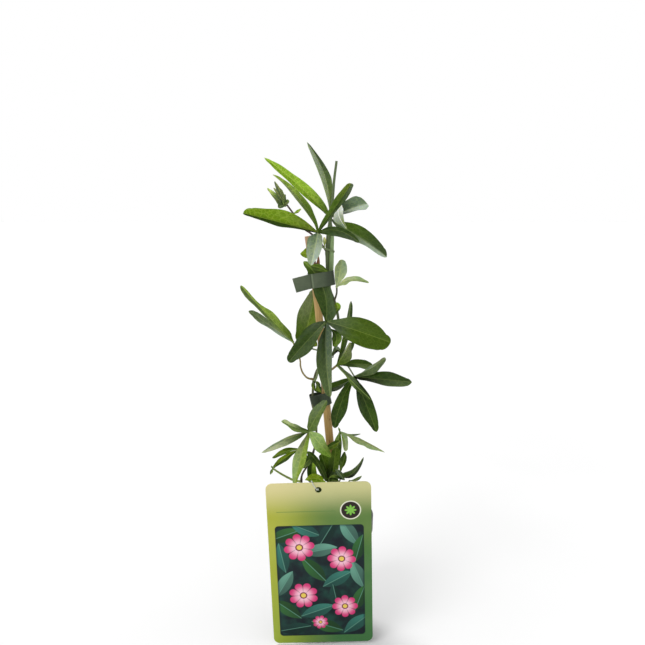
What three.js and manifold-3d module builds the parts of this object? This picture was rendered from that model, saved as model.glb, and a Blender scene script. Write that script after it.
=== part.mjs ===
// A young passion flower vine in a round nursery pot, tied to a bamboo cane, with a plant label
// leaning on the rim. Units are millimetres. X points right, Y to the back and Z up, and the origin
// is the centre of the pot's base.

import * as THREE from 'three';
import { mergeVertices } from 'three/addons/utils/BufferGeometryUtils.js';
import Module from 'manifold-3d';

const wasm = await Module();
wasm.setup();

// ---------------------------------------------------------------- driving dimensions

const SEAT_GAP = 0.3; // air between a piece and what carries it
const BLADE_THICKNESS = 0.75;
const FULL_TURN = 2 * Math.PI;

const POT = {
  rimRadius: 46.5,
  height: 108,
  bandHeight: 14.5, // the upright band round the rim
  baseRadius: 32.5,
  shoulderRadius: 44,
  wall: 1.1,
  floor: 1.8,
  chamfer: 1.4,
  drains: 8,
  drainRadius: 3.4,
  drainCircle: 25,
  sides: 44,
};

const SOIL = { edgeHeight: 98.5, mound: 3.2, rings: 4, grain: 0.5, sides: 32 };

const CANE = {
  path: [[13.8, 0, 14], [12.4, 0, 108], [4.8, 0, 196], [-3.9, 0, 299], [-12.1, 0, 358.5]],
  rootRadius: 4.0,
  endRadius: 3.3,
  jointHeights: [68, 238, 344],
  jointSwell: 0.4,
  jointSpread: 3,
};

const TIE = { height: 12.5, thickness: 0.9, corner: 3.4, slant: 9 };

const LABEL = {
  width: 88,
  height: 158.6,
  thickness: 0.8,
  corner: 4.6,
  holeRadius: 2.75,
  holeDrop: 6.8, // from the top edge down to the middle of the punched hole
  holeShift: 0,
  lean: 7, // degrees, the foot tucked in under the rim
  roll: 1.64, // degrees, the right side higher
  middleShift: -1.4,
  middleHeight: 80.6,
};

const LOOP = { radius: 0.45, stemHeight: 137, sides: 6, steps: 56 };

// The main stem, from its root in the soil to the cut at its top.
const VINE = {
  path: [
    [-12, -8, 93], [-14, -8, 117], [-19, -8, 139], [-18.4, -7, 147], [-13, -5, 156],
    [-8, -3, 168], [-5.4, -3, 188], [-8.2, -2.2, 208], [-8.7, -1.4, 219], [-8, 0.6, 230],
    [-4.6, 6, 241], [6.5, 7.4, 252], [12, 6, 262], [14, 6, 287], [10, 5, 304],
    [6.4, 3.6, 316], [5, 3.4, 333], [4, 4, 348], [6, 4, 366], [8, 4, 384],
    [10, 3, 408], [12, 3, 424],
  ],
  rootRadius: 1.9,
  endRadius: 1.05,
  jointHeights: [142, 165, 181, 231, 261, 302, 346],
  jointSwell: 0.55,
  jointSpread: 2.6,
};

// The short shoot beside the cane that carries the crowded leaves at the base.
const BASE_SHOOT = {
  path: [[9, -9, 93], [11, -9, 117], [12.5, -8.6, 139], [14, -8, 160], [15.6, -7, 177], [17, -6, 186]],
  rootRadius: 1.6,
  endRadius: 0.8,
  jointHeights: [123, 139, 155],
  jointSwell: 0.4,
  jointSpread: 2.4,
};

const COLOURS = {
  pot: 0x1b1c1d,
  soil: 0x2c211a,
  cane: 0xb08a52,
  tie: 0x46544b,
  label: 0xc9d08a,
  loop: 0xe9ece6,
  woodyStem: 0x59603a,
  matureLeaf: 0x3e6a2c,
  youngLeaf: 0x8fae74,
  yellowLeaf: 0x9fbf2a,
};

// ---------------------------------------------------------------- leaves

// A leaf grows from `stalk`, a path that starts inside the stem and ends at the leaf's heart. Each
// lobe runs from the heart through `via` to `tip`. `face` is where its upper side looks, `width` is
// measured over the flattened blade, and `fold` is how far each half is raised along the midrib, in
// degrees. `foot` is how wide a lobe still is at the heart, as a share of its width.
const LEAVES = {
  leaf_top_front: {
    stem: 'vine',
    colour: COLOURS.matureLeaf,
    stalk: [[4.3, 4, 350], [4.5, -2, 352], [1, -10, 356], [-4, -18, 364]],
    lobes: [
      { via: [-35, -28, 372], tip: [-64, -34, 380], width: 19, face: [0, -0.76, 0.66], fold: 30 },
      { via: [-24.5, -24, 390.5], tip: [-40, -26, 412], width: 17, face: [0.7, -0.35, 0.62], fold: 50 },
      { via: [12.5, -18, 382], tip: [24.5, -14, 404], width: 13.5, face: [-0.4, -0.75, 0.5], fold: 34 },
      { via: [-6, -33, 357], tip: [-9, -36, 336], width: 15, face: [0, -0.88, 0.48], fold: 8 },
      { via: [18, -28, 363.5], tip: [37, -32, 353.5], width: 13, face: [0.2, -0.55, 0.8], fold: 20 },
    ],
  },
  leaf_top_back: {
    stem: 'vine',
    colour: COLOURS.matureLeaf,
    stalkRadius: 1.8,
    stalk: [[5, 3.4, 334], [8.4, 5.5, 339], [9.2, 7, 348], [8.8, 8.5, 362], [6.5, 9.5, 376]],
    lobes: [
      { via: [-20, 12, 404], tip: [-50, 12, 427], width: 15, face: [-0.2, -0.85, 0.45], fold: 10 },
      { via: [-4.5, 14, 412], tip: [-13.5, 14, 440], width: 21, face: [0.9, -0.35, 0.3], fold: 50 },
      { via: [25, 18, 385], tip: [41, 25, 387.5], width: 19, face: [-0.1, -0.6, 0.8], fold: 16 },
      { via: [35, 8, 361.5], tip: [57, 8, 341], width: 14, face: [0.35, -0.75, 0.55], fold: 18 },
      { via: [14, 1, 381.5], tip: [20.8, -4, 367], width: 19, face: [-0.3, 0.8, 0.5], fold: 20 },
    ],
  },
  leaf_tie_young: {
    stem: 'vine',
    colour: COLOURS.youngLeaf,
    stalk: [[10.3, 5, 303], [14, -1, 307], [14.6, -6, 311.5], [12.8, -9.2, 316]],
    lobes: [
      { via: [13.7, -11, 327.6], tip: [16.7, -10, 339.7], width: 12, face: [-0.1, -0.97, 0.15], fold: 6 },
      { via: [24.6, -12, 322], tip: [39.5, -16, 321.5], width: 9, face: [0, -0.6, 0.8], fold: 32 },
    ],
  },
  leaf_left_high: {
    stem: 'vine',
    colour: COLOURS.matureLeaf,
    stalk: [
      [-8.6, 0, 226], [-11.6, -3.6, 230], [-16, -3, 237], [-19.5, -2, 246], [-20.5, 0, 255], [-25, 2, 267],
    ],
    lobes: [
      { via: [-45.5, -6, 290], tip: [-70, -10, 319], width: 10.5, face: [0.3, -0.85, 0.45], fold: 22 },
      { via: [-47, 7, 280], tip: [-66, 11, 294], width: 10.5, face: [-0.3, -0.6, 0.75], fold: 28 },
    ],
  },
  leaf_behind_cane: {
    stem: 'vine',
    colour: COLOURS.matureLeaf,
    stalk: [[6.5, 7.4, 252], [0, 10.5, 254], [-10, 13, 257], [-20, 12, 261]],
    lobes: [
      { via: [-14, 11, 285], tip: [-9, 12.5, 311], width: 19, face: [-0.3, -0.9, 0.3], fold: 14 },
    ],
  },
  leaf_centre: {
    stem: 'vine',
    colour: COLOURS.matureLeaf,
    stalk: [[-7.8, 0.8, 231.5], [-8, -5, 236.5], [-5, -11, 252], [0, -14, 270], [4, -16, 288]],
    lobes: [
      { via: [0.2, -7.8, 317], tip: [-14.5, -6.5, 337.5], width: 15.5, face: [0, -1, 0], fold: 3 },
      { via: [32, -30, 281], tip: [56.5, -38, 272.5], width: 25, face: [0.1, -0.85, 0.5], fold: 12 },
      { via: [-11, -28, 274], tip: [-28, -36, 258], width: 18, face: [-0.25, -0.85, 0.45], fold: 18 },
      { via: [1, -32, 261], tip: [7, -38, 228], width: 15, face: [0.25, -0.95, 0.15], fold: 22 },
      { via: [9, -17, 277], tip: [10.5, -12, 265], width: 13, face: [0.2, -0.9, 0.4], fold: 10 },
    ],
  },
  leaf_right_high: {
    stem: 'vine',
    colour: COLOURS.matureLeaf,
    stalk: [[-4.4, 6.2, 241.5], [1, 7.5, 240], [7, 5, 241], [13, 0, 247]],
    lobes: [
      { via: [16, 3, 273], tip: [25, 5, 303], width: 11, face: [0.88, -0.45, 0], fold: 52 },
      { via: [20, -3, 257], tip: [24, -5, 267], width: 12, face: [0.3, 0.9, 0.3], fold: 14 },
      { via: [29, 5, 248], tip: [46, 12, 243], width: 10, face: [-0.1, -0.7, 0.7], fold: 20 },
      { via: [26, -9, 237], tip: [38, -16, 224], width: 9, face: [0.5, 0.8, 0.35], fold: 22 },
    ],
  },
  leaf_right_low: {
    stem: 'vine',
    colour: COLOURS.matureLeaf,
    stalk: [[12, 6, 261.5], [16, 10.5, 256], [20.5, 9, 248], [29, 2, 235]],
    lobes: [
      { via: [52, -8, 234], tip: [78, -14, 235], width: 15.5, face: [0.05, -0.8, 0.6], fold: 18 },
      { via: [41, -4, 243], tip: [54, -10, 255], width: 10, face: [0.55, 0.6, -0.5], fold: 26 },
      { via: [38, -6, 212], tip: [48, -13, 189], width: 14, face: [0.2, -0.95, 0.25], fold: 12 },
      { via: [17, -8, 216], tip: [11, -15, 193], width: 13.5, face: [-0.15, -0.95, 0.2], fold: 14 },
      { via: [18, -7, 232], tip: [7.5, -13, 229], width: 10, face: [-0.3, -0.6, 0.7], fold: 24 },
    ],
  },
  leaf_low_left: {
    stem: 'vine',
    colour: COLOURS.youngLeaf,
    stalk: [[-5.8, -3, 181], [-7, -9, 183], [-9, -17, 187], [-11, -22, 192]],
    lobes: [
      { via: [-5, -21, 207], tip: [3, -20, 219], width: 12, face: [-0.2, -0.9, 0.3], fold: 12, foot: 0.5 },
      { via: [-25, -25, 198.5], tip: [-36, -26, 203], width: 8, face: [0, -0.6, 0.8], fold: 30 },
      { via: [-31, -32, 187], tip: [-51, -40, 180], width: 8, face: [-0.1, -0.7, 0.7], fold: 25 },
      { via: [-19.5, -34, 172.5], tip: [-23, -43, 155], width: 13.5, face: [-0.1, -0.93, 0.35], fold: 12 },
      { via: [-3, -32, 184.5], tip: [7, -38, 174], width: 13.5, face: [0.3, -0.8, 0.5], fold: 15, foot: 0.5 },
    ],
  },
  leaf_low_left_small: {
    stem: 'vine',
    colour: COLOURS.matureLeaf,
    stalk: [[-9, -3.2, 166], [-15, -4, 167], [-25, -6, 171]],
    lobes: [
      { via: [-34, -12, 168.5], tip: [-44, -16, 166], width: 8, face: [0, -0.75, 0.65], fold: 20 },
      { via: [-35, -14, 162.5], tip: [-43, -20, 158], width: 7.5, face: [0, -0.75, 0.65], fold: 20 },
    ],
  },
  leaf_base_yellow: {
    stem: 'shoot',
    colour: COLOURS.yellowLeaf,
    stalk: [[12, -8.8, 129], [7, -14, 136], [2, -19, 144.5]],
    lobes: [
      { via: [-7, -22, 149.5], tip: [-16, -23, 149.5], width: 9.5, face: [0, -0.7, 0.7], fold: 16 },
    ],
  },
};

// Leaves that are one grown piece with the short base shoot, each on a stalk from its place there.
const SHOOT_END = BASE_SHOOT.path.at(-1);
const BASE_LEAVES = [
  { from: SHOOT_END, via: [33.5, -14, 180.5], tip: [54, -22, 174], width: 7, face: [0.1, -0.7, 0.7], fold: 26 },
  { from: SHOOT_END, via: [26, 0, 183], tip: [34, 4, 182], width: 2.6, face: [0, -0.6, 0.8], fold: 12 },
  { from: SHOOT_END, via: [20.5, -11, 179], tip: [20.5, -14, 171], width: 6.5, face: [0.1, -0.9, 0.3], fold: 18 },
  { from: SHOOT_END, via: [13.5, -10, 183], tip: [11, -12, 177], width: 7, face: [-0.3, -0.8, 0.4], fold: 18 },
  { from: SHOOT_END, via: [15, -6, 189], tip: [14, -6, 192], width: 3.5, face: [0, -1, 0.1], fold: 10 },
  { stalk: [[15.2, -7.2, 173], [14.6, -12, 179]],
    via: [9, -16, 180], tip: [4, -18, 176], width: 7.5, face: [0, -0.7, 0.7], fold: 18 },
  { stalk: [[12.8, -8.5, 141], [11.6, -10, 147]],
    via: [11.5, -12.5, 163], tip: [13.5, -13, 181], width: 11.5, face: [0.2, -0.96, 0.1], fold: 14 },
  { stalk: [[12.4, -8.6, 137], [8.6, -10, 142]],
    via: [4, -12, 156], tip: [-1, -14, 171], width: 13, face: [-0.1, -0.97, 0.15], fold: 12 },
  { stalk: [[12.2, -8.7, 134], [5, -10.8, 141.3]],
    via: [-3, -14, 159], tip: [-15, -16, 170], width: 14, face: [-0.35, -0.9, 0.2], fold: 24 },
  { stalk: [[11, -9, 117], [3, -6, 121], [-7, 0, 127], [-10, 2, 135]],
    via: [-10, 4, 144], tip: [-8, 5, 154], width: 9, face: [-0.2, -0.97, 0.1], fold: 12 },
  { stalk: [[12.7, -8.5, 140], [16.5, -5, 145]],
    via: [19.5, -3, 156], tip: [20.5, -2, 166], width: 6.5, face: [0.3, -0.95, 0.1], fold: 14 },
  { stalk: [[13.6, -8.2, 153], [14, -12, 155]],
    via: [16.5, -16, 152.5], tip: [19, -19, 146], width: 5, face: [0.2, -0.8, 0.5], fold: 12 },
  { stalk: [[12, -8.7, 131], [14.5, -4, 138]],
    via: [28.5, 6.5, 141], tip: [39, 14, 156.5], width: 8, face: [-0.2, -0.9, 0.4], fold: 12 },
  { stalk: [[11.8, -9, 127], [19, -3, 130]],
    via: [28, 8, 133.5], tip: [36, 14, 137.5], width: 4.5, face: [-0.2, -0.8, 0.5], fold: 12 },
];

// The side shoot at the upper left, with its cluster of furled young leaves.
const TIP_SHOOT = {
  path: [[4, 3.8, 346], [-2, 3.6, 355], [-10.5, 3, 363], [-15, 1, 366], [-26, 0, 381], [-32, 0, 389]],
  rootRadius: 1.15,
  endRadius: 0.85,
  leaves: [
    { from: [-31, 0, 387], via: [-36, 0, 397], tip: [-41, 0, 407], width: 9, face: [0.6, -0.7, 0.3], fold: 34 },
    { from: [-31, 0, 387], via: [-40, -1, 394], tip: [-47, -1, 401], width: 6.5, face: [-0.5, -0.8, 0.3], fold: 30 },
    { from: [-30, 0, 386], via: [-31.5, -3, 392], tip: [-30, -4, 397], width: 5.5, face: [0.2, -0.9, 0.2], fold: 12 },
    { from: [-31, 0, 388], via: [-35.5, -2, 388], tip: [-37.5, -3, 392], width: 5, face: [-0.2, -0.9, 0.2], fold: 12 },
    { from: [-26, 0, 380.5], via: [-22, -1, 382], tip: [-17.5, -2, 385], width: 4.5, face: [0, -0.8, 0.6], fold: 20 },
    { from: [-2, 3.6, 355], via: [-11, 6.6, 351], tip: [-19.5, 6, 341], width: 8, face: [-0.1, -0.9, 0.3], fold: 14 },
  ],
};

// The thin side shoot at the lower left.
const LOW_SHOOT = {
  path: [[-19, -7.6, 143.5], [-27, -12, 145], [-36, -18, 151], [-43, -24, 159]],
  rootRadius: 1.15,
  endRadius: 0.75,
  leaves: [
    { from: [-42, -23, 158], via: [-45, -25, 158], tip: [-46.5, -27, 153], width: 3.6, face: [0, -0.9, 0.3], fold: 12 },
    { from: [-42, -23, 158], via: [-44, -24, 160.5], tip: [-46, -24, 163], width: 3, face: [0, -0.9, 0.3], fold: 12 },
  ],
};

// Small leaf-like stipules at the joints of the main stem.
const STIPULES = [
  { from: [12.4, 5.6, 295], via: [14.6, 2, 298], tip: [14.2, 0, 303], width: 6, face: [0.3, -0.95, 0.1], fold: 10 },
  { from: [12, 6, 259], via: [10.2, 3.4, 262], tip: [9.4, 1.5, 266], width: 4.5, face: [-0.2, -0.97, 0.1], fold: 10 },
  { from: [-8, 0.6, 229.5], via: [-11.5, 1, 228.5], tip: [-13, 1, 226], width: 3.6, face: [-0.1, -0.9, 0.3], fold: 10 },
];

// ---------------------------------------------------------------- geometry helpers

function vector([x, y, z]) {
  return new THREE.Vector3(x, y, z);
}

function smoothPath(points, closed = false) {
  return new THREE.CatmullRomCurve3(points.map(vector), closed, 'centripetal');
}

// Joins rings of equal size into one closed body. Each ring runs counter-clockwise about the way the
// rings advance. The two halves of a ring are split along opposite diagonals, so the upper and the
// lower side of a thin blade are divided alike and never cross. An endless body joins its last ring
// to its first; any other is closed by a flat cap at each end.
function loft(rings, endless = false) {
  const size = rings[0].length;
  const positions = rings.flat().flatMap((point) => point.toArray());
  const index = [];
  const bands = endless ? rings.length : rings.length - 1;
  for (let row = 0; row < bands; row++) {
    const next = (row + 1) % rings.length;
    for (let k = 0; k < size; k++) {
      const a = row * size + k;
      const b = row * size + ((k + 1) % size);
      const c = next * size + k;
      const d = next * size + ((k + 1) % size);
      if (2 * k < size) index.push(a, b, d, a, d, c);
      else index.push(a, b, c, b, d, c);
    }
  }
  const last = (rings.length - 1) * size;
  for (let k = 1; k + 1 < size && !endless; k++) {
    index.push(0, k + 1, k);
    index.push(last, last + k, last + k + 1);
  }
  const geometry = new THREE.BufferGeometry();
  geometry.setAttribute('position', new THREE.Float32BufferAttribute(positions, 3));
  geometry.setIndex(index);
  return geometry;
}

function solidOf(geometry) {
  const bare = geometry.clone();
  bare.deleteAttribute('normal');
  bare.deleteAttribute('uv');
  const merged = mergeVertices(bare, 1e-4);
  const mesh = new wasm.Mesh({
    numProp: 3,
    vertProperties: new Float32Array(merged.attributes.position.array),
    triVerts: new Uint32Array(merged.index.array),
  });
  return new wasm.Manifold(mesh);
}

// The mesh of a solid, with slivers finer than the given size merged away.
function geometryOf(solid, finest = 0.02) {
  const mesh = solid.simplify(finest).getMesh();
  const geometry = new THREE.BufferGeometry();
  geometry.setAttribute('position', new THREE.BufferAttribute(mesh.vertProperties, 3));
  geometry.setIndex(new THREE.BufferAttribute(mesh.triVerts, 1));
  geometry.computeVertexNormals();
  return geometry;
}

// Joins solids and fills any hollow that their surfaces seal off between them.
function joined(solids) {
  const whole = solids.reduce((sum, next) => sum.add(next));
  const shells = whole.decompose().filter((shell) => shell.volume() > 0);
  return shells.reduce((sum, next) => sum.add(next));
}

// What is left of a leaf or shoot outside the stem that carries it, without loose scraps.
function trimmed(solid, stem) {
  const bodies = solid.subtract(stem).decompose();
  return bodies.reduce((largest, body) => (body.volume() > largest.volume() ? body : largest));
}

// A ring of points round each of `steps` places on a path. `radius` is a function of the place and
// of how far along it is, from 0 to 1.
function ringsAlong(path, radius, sides, steps) {
  const endless = path.closed;
  const frames = path.computeFrenetFrames(steps, endless);
  const rings = [];
  for (let i = 0; i < (endless ? steps : steps + 1); i++) {
    const centre = path.getPointAt(i / steps);
    const reach = radius(centre, i / steps);
    const ring = [];
    for (let k = 0; k < sides; k++) {
      const angle = (k / sides) * FULL_TURN;
      const point = centre.clone();
      point.addScaledVector(frames.normals[i], reach * Math.cos(angle));
      point.addScaledVector(frames.binormals[i], reach * Math.sin(angle));
      ring.push(point);
    }
    rings.push(ring);
  }
  return rings;
}

// A round stem, stalk or cane along a path, with a ring about every `step` millimetres. Its foot may
// be sunk a little deeper.
function limb(points, radius, sides, step, sunk = 0) {
  const [[x, y, z], ...rest] = points;
  const path = smoothPath([[x, y, z - sunk], ...rest]);
  const steps = Math.max(2, Math.round(path.getLength() / step));
  return solidOf(loft(ringsAlong(path, radius, sides, steps)));
}

function taper(from, to) {
  return (place, along) => THREE.MathUtils.lerp(from, to, along);
}

// A taper that swells at each joint, plus a clearance all round.
function jointed({ rootRadius, endRadius, jointHeights, jointSwell, jointSpread }, clearance) {
  const plain = taper(rootRadius, endRadius);
  return (place, along) => {
    const bumps = jointHeights.map((height) => Math.exp(-(((place.z - height) / jointSpread) ** 2)));
    return plain(place, along) + jointSwell * Math.max(...bumps) + clearance;
  };
}

// Half the width of a lobe, as a share of its widest place: a narrow foot, the widest place past the
// middle and a blunt tip.
function lobeOutline(along) {
  return Math.sin(Math.PI * along ** 1.25) ** 0.75;
}

// One lobe as a thin blade, folded along its midrib.
function blade(from, { via, tip, width, face, fold, foot = 0.16 }) {
  const start = vector(from);
  const end = vector(tip);
  const control = vector(via).multiplyScalar(2).sub(start.clone().add(end).multiplyScalar(0.5));
  const midrib = new THREE.QuadraticBezierCurve3(start, control, end);
  const segments = THREE.MathUtils.clamp(Math.round(midrib.getLength() / 6), 3, 8);
  const tipHalfWidth = 0.5;
  const slope = THREE.MathUtils.degToRad(fold);
  const rings = [];
  for (let i = 0; i <= segments; i++) {
    const along = 1 - (1 - i / segments) ** 1.25;
    const centre = midrib.getPoint(along);
    const forward = midrib.getTangent(along);
    const side = vector(face).cross(forward).normalize();
    const up = forward.clone().cross(side);
    const least = THREE.MathUtils.lerp(Math.max(0.7, (foot * width) / 2), tipHalfWidth, along);
    const half = Math.max(least, (width / 2) * lobeOutline(along));
    const place = (column, level) => {
      const point = centre.clone();
      point.addScaledVector(side, column * half * Math.cos(slope));
      point.addScaledVector(up, Math.abs(column) * half * Math.sin(slope) + level);
      return point;
    };
    const upper = BLADE_THICKNESS / 2;
    rings.push([
      place(1, upper), place(0, upper), place(-1, upper),
      place(-1, -upper), place(0, -upper), place(1, -upper),
    ]);
  }
  return solidOf(loft(rings));
}

function knob([x, y, z], radius, detail = 1) {
  return solidOf(new THREE.OctahedronGeometry(radius, detail).translate(x, y, z));
}

// ---------------------------------------------------------------- pot, soil and cane

function lathe(profile, sides) {
  const points = profile.map(([radius, height]) => new THREE.Vector2(radius, height));
  return new THREE.LatheGeometry(points, sides).rotateX(Math.PI / 2);
}

function potSolid() {
  const { rimRadius, height, baseRadius, shoulderRadius, wall, floor, chamfer } = POT;
  const bandFoot = height - POT.bandHeight;
  let pot = solidOf(lathe([
    [0, 0],
    [baseRadius - chamfer, 0],
    [baseRadius, chamfer],
    [shoulderRadius, bandFoot - 1.5],
    [rimRadius - 0.3, bandFoot],
    [rimRadius, height - 1],
    [rimRadius - 0.7, height],
    [rimRadius - 2, height],
    [rimRadius - wall - 1.2, height - 1.4],
    [rimRadius - wall - 1.4, bandFoot + 1.4],
    [shoulderRadius - wall, bandFoot - 1],
    [baseRadius - wall, floor],
    [0, floor],
  ], POT.sides));
  for (let k = 0; k < POT.drains; k++) {
    const angle = ((k + 0.5) / POT.drains) * FULL_TURN;
    const drain = new THREE.CylinderGeometry(POT.drainRadius, POT.drainRadius, 4 * floor, 12);
    drain.rotateX(Math.PI / 2);
    drain.translate(POT.drainCircle * Math.cos(angle), POT.drainCircle * Math.sin(angle), 0);
    pot = pot.subtract(solidOf(drain));
  }
  return pot;
}

// The peat fills the pot to below the rim, with a low uneven mound. Each stem stands in a plain hole.
function soilSolid(stems) {
  const inset = POT.wall + SEAT_GAP + 0.2;
  const bandFoot = POT.height - POT.bandHeight;
  const mouth = POT.rimRadius - inset - 1.5;
  const profile = [
    [0, POT.floor + SEAT_GAP],
    [POT.baseRadius - inset, POT.floor + SEAT_GAP],
    [POT.shoulderRadius - inset, bandFoot - 0.8],
    [mouth, bandFoot + 2],
    [mouth, SOIL.edgeHeight],
  ];
  for (let ring = 1; ring <= SOIL.rings; ring++) {
    const inward = ring / SOIL.rings;
    profile.push([mouth * (1 - inward), SOIL.edgeHeight + SOIL.mound * Math.sin((inward * Math.PI) / 2)]);
  }
  const geometry = lathe(profile, SOIL.sides);
  const spots = geometry.attributes.position;
  for (let i = 0; i < spots.count; i++) {
    const [x, y, z] = [spots.getX(i), spots.getY(i), spots.getZ(i)];
    const lump = SOIL.grain * Math.sin(x * 0.9) * Math.cos(y * 1.1 + x * 0.2);
    if (z > SOIL.edgeHeight + 0.1) spots.setZ(i, z + lump);
  }
  return stems.reduce((soil, stem) => soil.subtract(stem), solidOf(geometry));
}

function caneSolid(clearance = 0) {
  return limb(CANE.path, jointed(CANE, clearance), 10, 6, clearance);
}

// ---------------------------------------------------------------- stems, shoots and leaves

function vineStem(clearance = 0) {
  return limb(VINE.path, jointed(VINE, clearance), 8, 4.5, clearance);
}

function shootStem(clearance = 0) {
  return limb(BASE_SHOOT.path, jointed(BASE_SHOOT, clearance), 7, 5, clearance);
}

function leafSolid({ stalk, stalkRadius = 0.85, lobes }) {
  const heart = stalk.at(-1);
  return joined([
    limb(stalk, taper(stalkRadius, 0.8), 6, 5),
    knob(heart, 1.9),
    ...lobes.map((lobe) => blade(heart, lobe)),
  ]);
}

function baseShootSolid() {
  const pieces = [shootStem(), knob(SHOOT_END, 1.4)];
  for (const leaf of BASE_LEAVES) {
    if (leaf.stalk) {
      pieces.push(limb(leaf.stalk, taper(0.75, 0.65), 5, 5), knob(leaf.stalk.at(-1), 1.3, 0));
    }
    pieces.push(blade(leaf.from ?? leaf.stalk.at(-1), leaf));
  }
  return joined(pieces);
}

function sideShootSolid({ path, rootRadius, endRadius, leaves }) {
  return joined([
    limb(path, taper(rootRadius, endRadius), 6, 4.5),
    knob(path.at(-1), 1.4 * endRadius),
    ...leaves.map((leaf) => blade(leaf.from, leaf)),
  ]);
}

// ---------------------------------------------------------------- ties

// A rounded rectangle round a space, `grow` larger on each side.
function roundedOutline({ left, right, front, back }, grow, corner) {
  const [x0, x1] = [left - grow, right + grow];
  const [y0, y1] = [front - grow, back + grow];
  const shape = new THREE.Shape();
  shape.moveTo(x0 + corner, y0);
  shape.absarc(x1 - corner, y0 + corner, corner, -Math.PI / 2, 0);
  shape.absarc(x1 - corner, y1 - corner, corner, 0, Math.PI / 2);
  shape.absarc(x0 + corner, y1 - corner, corner, Math.PI / 2, Math.PI);
  shape.absarc(x0 + corner, y0 + corner, corner, Math.PI, 1.5 * Math.PI);
  return shape;
}

function upright(shape, height, curveSegments) {
  const geometry = new THREE.ExtrudeGeometry(shape, { depth: height, bevelEnabled: false, curveSegments });
  return geometry.translate(0, 0, -height / 2);
}

// A band of tape round the cane and the stem. `space` is what it encloses, and a tail of tape may
// stand out at its left, drooping a little.
function tieSolid(space, tailLength) {
  const outer = roundedOutline(space, TIE.thickness, TIE.corner + TIE.thickness);
  outer.holes.push(roundedOutline(space, 0, TIE.corner));
  const band = solidOf(upright(outer, TIE.height, 4));
  if (tailLength === 0) return band;
  const length = tailLength + TIE.corner;
  const tail = new THREE.BoxGeometry(length, TIE.thickness, TIE.height - 0.3);
  tail.translate(-length / 2, 0, 0);
  tail.rotateZ(THREE.MathUtils.degToRad(-14));
  tail.rotateY(THREE.MathUtils.degToRad(-5));
  tail.translate(space.left + TIE.corner, space.front + 0.2, 0);
  const inside = solidOf(upright(roundedOutline(space, 0, TIE.corner), 2 * TIE.height, 4));
  return band.add(solidOf(tail).subtract(inside));
}

// ---------------------------------------------------------------- label and its loop

// The label's own frame: X across its width, Y behind it and Z up from its middle. Its back touches
// the foot of the rim's band.
function labelFrame() {
  const lean = THREE.MathUtils.degToRad(LABEL.lean);
  const touch = { y: -(POT.rimRadius + SEAT_GAP + LABEL.thickness / 2), z: POT.height - POT.bandHeight + 1 };
  const middle = touch.y + Math.tan(lean) * (touch.z - LABEL.middleHeight);
  const frame = new THREE.Matrix4().makeTranslation(LABEL.middleShift, middle, LABEL.middleHeight);
  frame.multiply(new THREE.Matrix4().makeRotationX(lean));
  frame.multiply(new THREE.Matrix4().makeRotationY(-THREE.MathUtils.degToRad(LABEL.roll)));
  return frame;
}

function onLabel(across, behind, up) {
  return new THREE.Vector3(across, behind, up).applyMatrix4(labelFrame()).toArray();
}

function labelSolid() {
  const [halfWidth, halfHeight] = [LABEL.width / 2, LABEL.height / 2];
  const edges = { left: -halfWidth, right: halfWidth, front: -halfHeight, back: halfHeight };
  const outline = roundedOutline(edges, 0, LABEL.corner);
  const punched = new THREE.Path();
  punched.absarc(LABEL.holeShift, halfHeight - LABEL.holeDrop, LABEL.holeRadius, 0, FULL_TURN);
  outline.holes.push(punched);
  const sheet = upright(outline, LABEL.thickness, 6).rotateX(Math.PI / 2);
  return solidOf(sheet.applyMatrix4(labelFrame()));
}

// The clear loop goes round the woody stem, over the top edge of the label and through its hole.
function loopSolid() {
  const top = LABEL.height / 2;
  const hole = { across: LABEL.holeShift, up: top - LABEL.holeDrop };
  const stem = smoothPath(VINE.path).getSpacedPoints(400).find((point) => point.z >= LOOP.stemHeight);
  const reach = VINE.rootRadius + SEAT_GAP + LOOP.radius + 0.5;
  const path = smoothPath([
    [stem.x + 0.8 * reach, stem.y - 0.9 * reach, stem.z],
    [stem.x + 0.9 * reach, stem.y + 0.7 * reach, stem.z],
    [stem.x - 0.4 * reach, stem.y + 1.1 * reach, stem.z],
    [stem.x - 1.1 * reach, stem.y, stem.z],
    [stem.x - 0.5 * reach, stem.y - 1.2 * reach, stem.z + 0.3],
    [-13, -32, 143],
    onLabel(hole.across - 6, 4.4, top - 4),
    onLabel(hole.across - 5.4, 0, top + 1.5),
    onLabel(hole.across - 4.2, -1.9, top - 0.8),
    onLabel(hole.across - 1.3, -1.8, hole.up + 1.5),
    onLabel(hole.across, 0, hole.up),
    onLabel(hole.across - 0.3, 2.4, hole.up - 0.6),
    [-9, -32, 139.5],
  ], true);
  return solidOf(loft(ringsAlong(path, () => LOOP.radius, LOOP.sides, LOOP.steps), true));
}

// ---------------------------------------------------------------- the object

const plant = new THREE.Group();

function addPiece(name, solid, colour, roughness = 0.7) {
  const material = new THREE.MeshStandardMaterial({ color: colour, roughness, metalness: 0 });
  const mesh = new THREE.Mesh(geometryOf(solid), material);
  mesh.name = name;
  plant.add(mesh);
}

const around = { vine: vineStem(SEAT_GAP), shoot: shootStem(SEAT_GAP), cane: caneSolid(SEAT_GAP) };

addPiece('pot', potSolid(), COLOURS.pot, 0.5);
addPiece('soil', soilSolid(Object.values(around)), COLOURS.soil, 1);
addPiece('cane', caneSolid(), COLOURS.cane, 0.6);

const stipules = STIPULES.map((stipule) => blade(stipule.from, stipule));
addPiece('vine_main', joined([vineStem(), ...stipules]), COLOURS.woodyStem);
addPiece('shoot_base', baseShootSolid(), COLOURS.matureLeaf);
addPiece('shoot_tip_left', trimmed(sideShootSolid(TIP_SHOOT), around.vine), COLOURS.youngLeaf);
addPiece('shoot_low_left', trimmed(sideShootSolid(LOW_SHOOT), around.vine), COLOURS.youngLeaf);

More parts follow.
